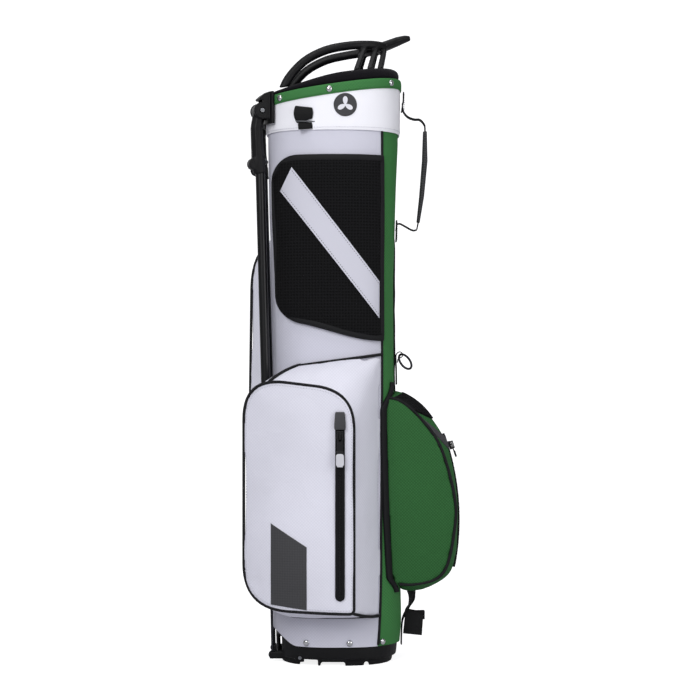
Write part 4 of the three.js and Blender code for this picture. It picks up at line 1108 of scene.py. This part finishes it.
# The new skin keeps the green that is darkened as painted shade.
pattern = ball_bag.data.copy()
skin_over(ball_bag, 4.5, painted_shade_green)
swollen(ball_bag, 4.0, 3.0, ball_held)
finer(ball_bag)
reseated(ball_bag, pattern, ball_held)
for label, side in (("near", -1), ("far", 1)):
    seam = [ball_point(i, side * (BALL_HALF - 4.2)) for i in range(4, BALL_STEPS - 2)]
    seam = [p + Vector((0.7, 0, 0)) for p in seam]
    new_piece(f"ball_pocket_{label}_piping", *tube_along(seam, POCKET_PIPING_R), woven_piping,
              slot="black_webbing")
    tape = []
    for k in range(70):
        z = 99 + (392 - 99) * k / 69
        y = side * (BALL_HALF + 1.5 - 22 * smooth(352, 392, z) - 14 * smooth(122, 99, z))
        _, spine, depth, _ = station(z)
        x = spine * (1 - (abs(y) / depth) ** SQUARENESS) ** (1 / SQUARENESS)
        out = Vector(((x / spine) ** 1.4 / spine, side * (abs(y) / depth) ** 1.4 / depth, 0)).normalized()
        across = Vector((-out.y, out.x, 0)) * side
        tape.append((Vector((x, y, z)) + out * 2.0 + across * 1.0, across, out))
    binding(f"ball_pocket_{label}_tape", tape, woven_piping, 11.0, 5.0, closed=False)


def on_ball(i, y, lift):
    """A point a little outside the pocket's front, at place i along the profile."""
    i = min(BALL_STEPS - 1.001, max(1, i))
    low = int(i)
    here = ball_point(low, y).lerp(ball_point(low + 1, y), i - low)
    along = (ball_point(low + 1, y) - ball_point(low - 1, y)).normalized()
    return here + Vector((along.z, 0, -along.x)) * lift


def strip_on_ball(name, first, last, y0, y1, finish, slot):
    at = lambda u, v, w: on_ball(first + (last - first) * v, y0 + (y1 - y0) * u, 1.9 if w else -0.8)
    new_piece(name, *slab(20, 16, at), finish, slot=slot, edge_angle=50)


strip_on_ball("ball_pocket_vent", 51.5, 58.5, -43, 43, spacer_mesh, "black_mesh")
strip_on_ball("ball_pocket_print", 44.5, 48.5, -43, -12, printed_film, "grey_plastic")

# ------------------------------------------------------------------ zips
# Each pocket closes with a black coil zip: a woven tape, two rows of nylon coil, a painted slider and a
# cast pull. The near pocket's slider parks in a grey moulded garage, and a pale rubber tag hangs from its
# pull.
TAPE_HALF, TAPE_THICK = 6.5, 1.2
COIL = (4.4, 1.5, 1.3)
COIL_STEP = 1.9
# The tape is a dull black herringbone, and the coil and slider on it catch small glints.
zip_tape, tree, shader, where = new_finish("black_zip_tape")
herringbone = texture(tree, "Wave", where, {"bands_direction": "Z"}, Scale=300.0, Distortion=0.3)
two_tone(tree, shader, herringbone.outputs[0], linear("#0b0b0d"), linear("#1b1b1e"))
raised(tree, shader, (herringbone.outputs[0], 0.3, 0.0003))
set_gloss(shader, 0.85, 0.15)
nylon_coil = moulded_plastic("black_nylon_coil", "#101012", 0.0008, 0.35)
painted_slider = moulded_plastic("black_painted_zinc", "#1a1a1c", 0.0009, 0.3)
grey_moulding = moulded_plastic("dark_grey_moulded_plastic", "#39393c", 0.001, 0.5)
pale_rubber = moulded_plastic("pale_grey_soft_rubber", "#b9b9c0", 0.001, 0.6)


def straight_zip(label, x, low, high, side):
    face = panel_depth(x) + 1.8

    def tape(u, v, w):
        z = low + (high - low) * v
        end = math.sqrt(max(0.0, 1 - max(0.0, (low + TAPE_HALF - z) / TAPE_HALF) ** 2))
        width = TAPE_HALF * max(0.12, end)
        edge = 0.35 * abs(2 * u - 1) ** 6
        return x - width + 2 * width * u, side * (face + (TAPE_THICK - edge if w else -2.6)), z

    piece = new_piece(f"{label}_zip_band", *slab(12, 120, tape), zip_tape, slot="black_webbing",
                      edge_angle=60)
    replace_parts(piece, f"{label}_zip_tape")
    coil = [(x, side * (face + TAPE_THICK + 0.1), z) for z in (low + 7, high - 2)]
    beads(f"{label}_zip_coil", [coil], COIL_STEP, COIL, (0, side, 0), nylon_coil)
    rounded_moulding(f"{label}_zip_runner", f"{label}_zip_slider", 0.45, 2, painted_slider, f"{label}_slider")
    rounded_moulding(f"{label}_zip_handle", f"{label}_zip_pull", 0.45, 2, painted_slider, f"{label}_pull")
    return face


apparel_face = straight_zip("apparel", APPAREL_ZIP_X, 98, 351, -1)
straight_zip("garment", GARMENT_ZIP_X, 130, 560, 1)


def smooth_stations(stations, steps):
    """Strap stations (x, y, z, width, thickness, turn) filled in along a smooth curve."""
    rows = [stations[0]] + list(stations) + [stations[-1]]
    made = []
    for i in range(1, len(rows) - 2):
        for k in range(steps):
            made.append([spline(*four, k / steps) for four in zip(*rows[i - 1 : i + 3])])
    return made + [list(stations[-1])]


def strap(name, stations, finish, steps=6, squareness=0.35, sides=20, **how):
    """A flat strap along its stations. The turn faces it from +Y towards +X, in degrees."""
    rows = smooth_stations(stations, steps)
    rings = []
    for i, (x, y, z, width, thick, turn) in enumerate(rows):
        ahead, behind = rows[min(i + 1, len(rows) - 1)], rows[max(i - 1, 0)]
        along = Vector((ahead[0] - behind[0], ahead[1] - behind[1], ahead[2] - behind[2])).normalized()
        a = math.radians(turn)
        across = Vector((-math.cos(a), math.sin(a), 0))
        across = (across - along * across.dot(along)).normalized()
        up = along.cross(across)
        ring = []
        for k in range(sides):
            angle = 2 * math.pi * k / sides
            wide = eased(math.cos(angle), squareness) * width / 2
            high = eased(math.sin(angle), squareness) * thick / 2
            ring.append(Vector((x, y, z)) + across * wide + up * high)
        rings.append(ring)
    return new_piece(name, *lofted(rings), finish, **how)


garage_y = -(apparel_face + TAPE_THICK + 1.4)
GARAGE = [(353.6, 11.4, 2.2), (352, 13, 3.4), (346, 14.2, 4.2), (337, 15.4, 4.4), (331, 15.4, 4.2),
          (329.6, 14.6, 3.4)]
garage_line = [(APPAREL_ZIP_X, garage_y, z, wide, thick, 0) for z, wide, thick in GARAGE]
garage = strap("zip_garage", garage_line, grey_moulding, steps=5, slot="grey_plastic", edge_angle=50)
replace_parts(garage, "apparel_zip_garage")


def tag_rings(low, high, half, y, thick):
    """A rounded bar round the lower half of a pull, in rings from end to end."""
    rings = []
    for k in range(15):
        t = k / 14
        tight = (1 - abs(2 * t - 1) ** 5) ** 0.5 * 0.35 + 0.65
        ring = []
        for i in range(20):
            a = 2 * math.pi * i / 20
            ring.append((half * eased(math.cos(a), 0.5) * tight,
                         y + eased(math.sin(a), 0.5) * thick / 2 * tight,
                         low + (high - low) * t))
        rings.append(ring)
    return rings


TAG_TOP, TAG_END = 30, 48.6
SLIDER_Z = {"apparel": 328, "garment": 556, "ball": 306}
tag_face = apparel_face + TAPE_THICK + 0.4 + 3.2 + 0.4
rings = tag_rings(SLIDER_Z["apparel"] - TAG_END, SLIDER_Z["apparel"] - TAG_TOP, 5.5, -(tag_face + 1.3), 3.3)
rings = [[(x + APPAREL_ZIP_X, y, z) for x, y, z in ring] for ring in rings]
new_piece("apparel_zip_tag", *lofted(rings), pale_rubber, body="apparel_pull", slot="grey_plastic",
          edge_angle=50)


def arc_point(z, grow):
    a = math.asin((z - ARC_Z) / ARC_R)
    return ARC_X + (ARC_R + grow) * math.cos(a), ARC_Z + (ARC_R + grow) * math.sin(a)


def ball_tape(u, v, w):
    edge = 0.35 * abs(2 * u - 1) ** 6
    x, z = arc_point(130 + (318 - 130) * v, 1.6 + (TAPE_THICK - edge if w else -2.6))
    return x, -TAPE_HALF + 2 * TAPE_HALF * u, z


ball_band = new_piece("ball_zip_band", *slab(12, 90, ball_tape), zip_tape, slot="black_webbing",
                      edge_angle=60)
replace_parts(ball_band, "ball_zip_tape")
coil = []
for i in range(61):
    x, z = arc_point(134 + (315 - 134) * i / 60, 2.9)
    coil.append((x, 0, z))
beads("ball_zip_coil", [coil], COIL_STEP, COIL, (1, 0, 0), nylon_coil)
rounded_moulding("ball_zip_runner", "ball_zip_slider", 0.45, 2, painted_slider, "ball_slider")
rounded_moulding("ball_zip_handle", "ball_zip_pull", 0.45, 2, painted_slider, "ball_pull")

# ------------------------------------------------------------------ stand
# Two black anodised aluminium legs hang from moulded arms in a bracket on the cuff. A steel rod runs from
# each arm to the tilting foot, so that pressing the base on the ground swings the legs out. Anodised tube
# is satin black with fine drawn lines down its length.
anodised_tube, tree, shader, where = new_finish("black_anodised_aluminium")
drawn = add_node(tree, "ShaderNodeMapping", {"Vector": where, "Scale": (900, 900, 14)})
lines = texture(tree, "Noise", drawn.outputs[0], Scale=1.0, Detail=2.0)
rough = ranged(tree, lines.outputs[0], after=(0.24, 0.42))
two_tone(tree, shader, lines.outputs[0], linear("#0a0a0c"), linear("#161619"))
tree.links.new(rough, shader.inputs["Roughness"])
shader.inputs["Metallic"].default_value = 0.35


def bright_metal(name, colour, low, high):
    """Plated or bare metal, with faint rub marks in its polish."""
    finish, tree, shader, where = new_finish(name)
    rubs = texture(tree, "Noise", where, Scale=300.0, Detail=4.0, Distortion=1.0)
    rough = ranged(tree, rubs.outputs[0], (0.3, 0.7), (low, high))
    tree.links.new(rough, shader.inputs["Roughness"])
    two_tone(tree, shader, rubs.outputs[0], scaled(colour, 0.8), linear(colour))
    shader.inputs["Metallic"].default_value = 1.0
    return finish


polished_chrome = bright_metal("polished_chrome_plate", "#cfd0d4", 0.1, 0.22)
dark_steel = bright_metal("blackened_steel", "#3a3b40", 0.28, 0.42)
bare_steel = bright_metal("turned_steel", "#8d8f94", 0.25, 0.4)
# The feet are dull rubber, rougher than the arms above them.
foot_rubber = moulded_plastic("black_moulded_rubber", "#131315", 0.0016, 0.75)
LEG_LOW, LEG_HIGH, LEG_Y, LEG_R = (-91, 96), (-107.5, 706), 46, 6.5
for label, side in (("near", -1), ("far", 1)):
    leg = f"{label}_leg"
    line = [(LEG_LOW[0] + (LEG_HIGH[0] - LEG_LOW[0]) * i / 24, side * LEG_Y,
             LEG_LOW[1] + (LEG_HIGH[1] - LEG_LOW[1]) * i / 24)
            for i in range(25)]
    tube = new_piece(f"{leg}_alloy_tube", *tube_along(line, LEG_R, sides=32), anodised_tube, body=leg,
                     slot="black_tube", edge_angle=50)
    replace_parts(tube, f"{leg}_tube")
    rounded_moulding(f"{leg}_moulded_arm", f"{leg}_arm", 0.9, 4, black_nylon, leg)
    rounded_moulding(f"{leg}_rubber_foot", f"{leg}_foot", 0.8, 3, foot_rubber, leg)
    rounded_moulding(f"{label}_steel_rod", f"{label}_push_rod", 0.7, 1, dark_steel, f"{label}_rod")
rounded_moulding("stand_bracket", "leg_bracket", 0.9, 4, black_nylon, "bag")
for node in ("near_leg_pin", "far_leg_pin", "foot_hinge_pin", "stay_near", "stay_far"):
    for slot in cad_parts[node].material_slots:
        slot.material = bare_steel

# ------------------------------------------------------------------ carry handle
# A black webbing handle is sewn to the cuff and the spine by two tabs. A ribbed rubber sleeve covers its
# straight part. Webbing is ribbed and twilled, so it glints in short rows.
webbing, tree, shader, where = new_finish("black_polypropylene_webbing")
ribs = texture(tree, "Wave", where, {"bands_direction": "Z"}, Scale=210.0, Distortion=0.2)
warp = texture(tree, "Wave", where, {"bands_direction": "DIAGONAL"}, Scale=260.0)
cross = add_node(tree, "ShaderNodeMath", {0: ribs.outputs[0], 1: warp.outputs[0]}, operation="MULTIPLY")
two_tone(tree, shader, cross.outputs[0], linear("#0a0a0b"), linear("#1c1c1f"))
raised(tree, shader, (cross.outputs[0], 0.5, 0.0005))
set_gloss(shader, 0.8, 0.25)


CARRY_Y = -8
CARRY_W, CARRY_T = 19, 1.8
CARRY_LINE = [
    (92.6, 786), (93, 779), (94.4, 773.5), (98, 768.5), (103, 765), (110, 763), (117, 762.5), (122.6, 757),
    (124.6, 748), (124.2, 704), (119.8, 654), (114, 612),
    (110.6, 606.4), (105, 607), (96, 612), (89, 615.5), (85, 614), (83.4, 606),
]
carry = strap("carry_webbing", [(x, CARRY_Y, z, CARRY_W, CARRY_T, 90) for x, z in CARRY_LINE], webbing,
              slot="black_webbing")
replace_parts(carry, "carry_handle")
TABS = {
    "top": [(94.2, 801), (94.0, 791), (92.8, 783), (91.6, 774)],
    "low": [(84.4, 620), (84.2, 610), (84, 600), (83.6, 590)],
}
for label, line in TABS.items():
    tab = strap(f"carry_tab_{label}_webbing", [(x, CARRY_Y, z, 24, 2, 90) for x, z in line], webbing,
                slot="black_webbing")
    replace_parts(tab, f"carry_tab_{label}")
    x0 = max(x for x, _ in line) + 1.1
    high, low = line[0][1] - 3, line[-1][1] + 3
    box_row = [(x0, CARRY_Y - 9, high), (x0, CARRY_Y + 9, high), (x0 - 0.3, CARRY_Y + 9, low),
               (x0 - 0.3, CARRY_Y - 9, low),
               (x0, CARRY_Y - 9, high), (x0 - 0.3, CARRY_Y + 9, low)]
    beads(f"carry_tab_{label}_stitches", [box_row], 3.0, (0.8, 0.7, 2.2), (1, 0, 0), grey_thread)

# The sleeve is rubber with close ribs, a shade paler than the webbing.
ribbed_rubber, tree, shader, where = new_finish("dark_grey_ribbed_rubber")
ribs = texture(tree, "Wave", where, {"bands_direction": "Z"}, Scale=95.0)
grain = texture(tree, "Noise", where, Scale=700.0)
two_tone(tree, shader, ribs.outputs[0], linear("#242426"), linear("#38383b"))
raised(tree, shader, (ribs.outputs[0], 0.5, 0.0008), (grain.outputs[0], 0.2, 0.0003))
set_gloss(shader, 0.65, 0.3)
rounded_moulding("carry_sleeve", "carry_grip", 0.8, 3, ribbed_rubber, "bag")

# ------------------------------------------------------------------ towel ring
# A plated steel ring swings in a webbing tab that is sewn to the spine above the ball pocket.
RING_X, RING_Z, RING_R, RING_WIRE, RING_TILT = 89.5, 430, 12, 1.6, math.radians(38)
RING_TWIST = math.radians(34)
down = Vector((math.sin(RING_TILT), 0, -math.cos(RING_TILT)))
level = Vector((math.cos(RING_TILT), 0, math.sin(RING_TILT)))
across = Vector((0, math.cos(RING_TWIST), 0)) + level * math.sin(RING_TWIST)
circle = []
for k in range(72):
    a = 2 * math.pi * k / 72
    circle.append(Vector((RING_X, 0, RING_Z)) + down * RING_R * (1 - math.cos(a))
                  + across * RING_R * math.sin(a))
ring = new_piece("plated_ring", *tube_along(circle, RING_WIRE, sides=16, closed=True), dark_steel,
                 body="ring", slot="chrome", edge_angle=180)
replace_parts(ring, "towel_ring")
ring_tab = strap("ring_tab", [
    (84.4, 0, 388, 14, 2.2, 90), (84.2, 0, 400, 14, 2.2, 90), (84, 0, 412, 14, 2.2, 90),
    (83.6, 0, 424, 12, 2, 90),
    (84, 0, 430, 9, 1.6, 90), (86.6, 0, 433.6, 8, 1.4, 90), (90, 0, 434.2, 8, 1.4, 90),
    (92.8, 0, 432, 8, 1.4, 90),
    (93, 0, 428.6, 8, 1.4, 90), (90.6, 0, 426.2, 8, 1.4, 90), (87, 0, 424.6, 9, 1.4, 90),
    (85.6, 0, 419, 11, 1.4, 90),
], webbing, steps=5, slot="black_webbing")
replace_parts(ring_tab, "towel_tab")

# ------------------------------------------------------------------ accessory clip
# A folded tab of webbing on the cuff wrap holds gloves or a towel under a thin plated bar.
CLIP_X, CLIP_Y = -44, -depth_at(CUFF_Z, -44, 2.8)
fold = strap("clip_fold", [
    (CLIP_X - 0.6, CLIP_Y - 1.2, 770.5, 22, 2.4, -11), (CLIP_X - 1, CLIP_Y - 4.2, 768.5, 25, 4.4, -11),
    (CLIP_X - 1.6, CLIP_Y - 5.4, 762, 27, 5.4, -11), (CLIP_X - 1, CLIP_Y - 4.4, 756, 25, 4.8, -11),
    (CLIP_X, CLIP_Y - 2.6, 752.4, 22, 3.4, -11)], webbing, slot="black_webbing")
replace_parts(fold, "clip_body")
strap("clip_keeper",
      [(CLIP_X + 1, CLIP_Y - 1.8, 750, 19, 3, -11), (CLIP_X + 1, CLIP_Y - 2.8, 746, 20, 4, -11),
                      (CLIP_X + 1.4, CLIP_Y - 2.2, 740.5, 20, 3, -11)], webbing, slot="black_webbing")
wire = [(CLIP_X + 1 + x, CLIP_Y - 4.4 + 0.19 * x, 751.2) for x in (-13, -8, 0, 8, 13)]
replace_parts(new_piece("clip_wire", *tube_along(wire, 0.8, sides=12), bare_steel, slot="chrome",
                      edge_angle=60), "clip_bar")

# ------------------------------------------------------------------ shoulder strap
# A flat webbing strap runs down the far side of the spine, through a foam pad, round under the ball pocket
# and through a ladder buckle, with a free tail.
STRAP_LINE = [
    (40, 85, 762, 30, 2, 15), (41, 85.5, 735, 30, 2, 18), (47, 91, 690, 30, 2, 40), (56, 97, 640, 30, 2, 60),
    (60, 98, 560, 30, 2, 66), (60, 98, 400, 30, 2, 66), (60.5, 97, 280, 28, 2, 66), (70, 90, 200, 26, 2, 66),
    (88, 78, 132, 26, 2, 66), (100, 66, 104, 25, 2, 68), (107, 49, 88, 25, 2, 74), (107, 33, 77, 25, 2, 84),
    (101, 21, 67, 25, 2, 90), (95.2, 17, 57, 25, 2, 90), (92.6, 16, 46, 25, 2, 90), (91.6, 16, 18, 25, 2, 90),
]
PAD_LINE = [
    (60, 103.5, 664, 36, 9, 56), (65.5, 103, 640, 46, 14, 62), (69.6, 103, 600, 50, 16, 66),
    (70.2, 102.6, 560, 50, 16, 66),
    (70.2, 102.6, 400, 50, 16, 66), (70, 102.2, 340, 50, 16, 66), (69, 101.6, 310, 46, 14, 66),
    (67.4, 100.8, 290, 36, 9, 66),
]
TAIL_LINE = [
    (114, 6.5, 54, 22, 1.8, 8), (114, 6.2, 60, 22, 1.8, 8), (113.5, 4, 65, 23, 1.8, 8),
    (112, 0.5, 66.5, 24, 1.8, 8),
    (109.5, -2.5, 60, 26, 1.8, 6), (107, -4.5, 34, 27, 1.8, 6),
]
long_strap = strap("shoulder_webbing", STRAP_LINE, webbing, steps=10, slot="black_webbing")
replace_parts(long_strap, "strap_webbing")
tail = strap("shoulder_webbing_tail", TAIL_LINE, webbing, steps=10, slot="black_webbing")
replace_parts(tail, "strap_tail")
shoulder_pad = strap("shoulder_pad", PAD_LINE, spacer_mesh, steps=14, squareness=0.55, sides=40,
                     slot="black_mesh", edge_angle=180)
creased(shoulder_pad, 0.8, 30, 52)
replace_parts(shoulder_pad, "strap_pad")
rounded_moulding("ladder_buckle", "strap_buckle", 0.6, 2, black_nylon, "bag")

# ------------------------------------------------------------------ rivets
# Polished dome rivets hold the collar to the cuff and the fabric hem to the base.
RIVET_R, RIVET_H = 4.4, 2.5
rivet_places = [(x, rim_z(x) - 7, 4.4 + FABRIC_GAP, side) for x in (-79, -10, 76) for side in (-1, 1)]
rivet_places += [(x, 33, FABRIC_GAP, side) for x, side in ((-42, -1), (18, -1), (64, -1), (18, 1), (64, 1))]
points, ways = [], []
for x, z, grow, side in rivet_places:
    slope = depth_at(z, x + 0.5, grow) - depth_at(z, x - 0.5, grow)
    points.append(Vector((x, side * depth_at(z, x, grow), z)) * MM)
    ways.append(Vector((-slope, side, 0)).normalized())
rivet_seeds = bpy.data.meshes.new("rivets")
rivet_seeds.from_pydata(points, [], [])
facing = rivet_seeds.attributes.new("facing", "FLOAT_VECTOR", "POINT")
for item, way in zip(facing.data, ways):
    item.vector = way

tree, given = growing_tree("domes_on_points", Radius="Float", Height="Float")
way = add_node(tree, "GeometryNodeInputNamedAttribute", {"Name": "facing"}, data_type="FLOAT_VECTOR")
turn = add_node(tree, "FunctionNodeAlignRotationToVector", {"Vector": way.outputs[0]}, axis="Z")
dome = add_node(tree, "GeometryNodeMeshUVSphere", {"Segments": 24, "Rings": 12, "Radius": 1.0})
size = add_node(tree, "ShaderNodeCombineXYZ",
                {"X": given["Radius"], "Y": given["Radius"], "Z": given["Height"]})
shaped = add_node(tree, "GeometryNodeTransform", {"Geometry": dome.outputs[0], "Scale": size.outputs[0]})
smooth_dome = add_node(tree, "GeometryNodeSetShadeSmooth", {"Geometry": shaped.outputs[0]})
placed = add_node(tree, "GeometryNodeInstanceOnPoints", {
    "Points": given["Geometry"], "Instance": smooth_dome.outputs[0], "Rotation": turn.outputs[0]})
made_real(tree, placed, given)
rivet_nodes = [f"cuff_rivet_{label}_{i}" for label in ("near", "far") for i in (1, 2, 3)]
rivet_nodes += [f"base_rivet_near_{i}" for i in (1, 2, 3)] + [f"base_rivet_far_{i}" for i in (1, 2)]
rivets = grown("dome_rivets", rivet_seeds, tree,
               {"Radius": RIVET_R * MM, "Height": RIVET_H * MM, "Finish": polished_chrome},
               "bag")
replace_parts(rivets, *rivet_nodes)
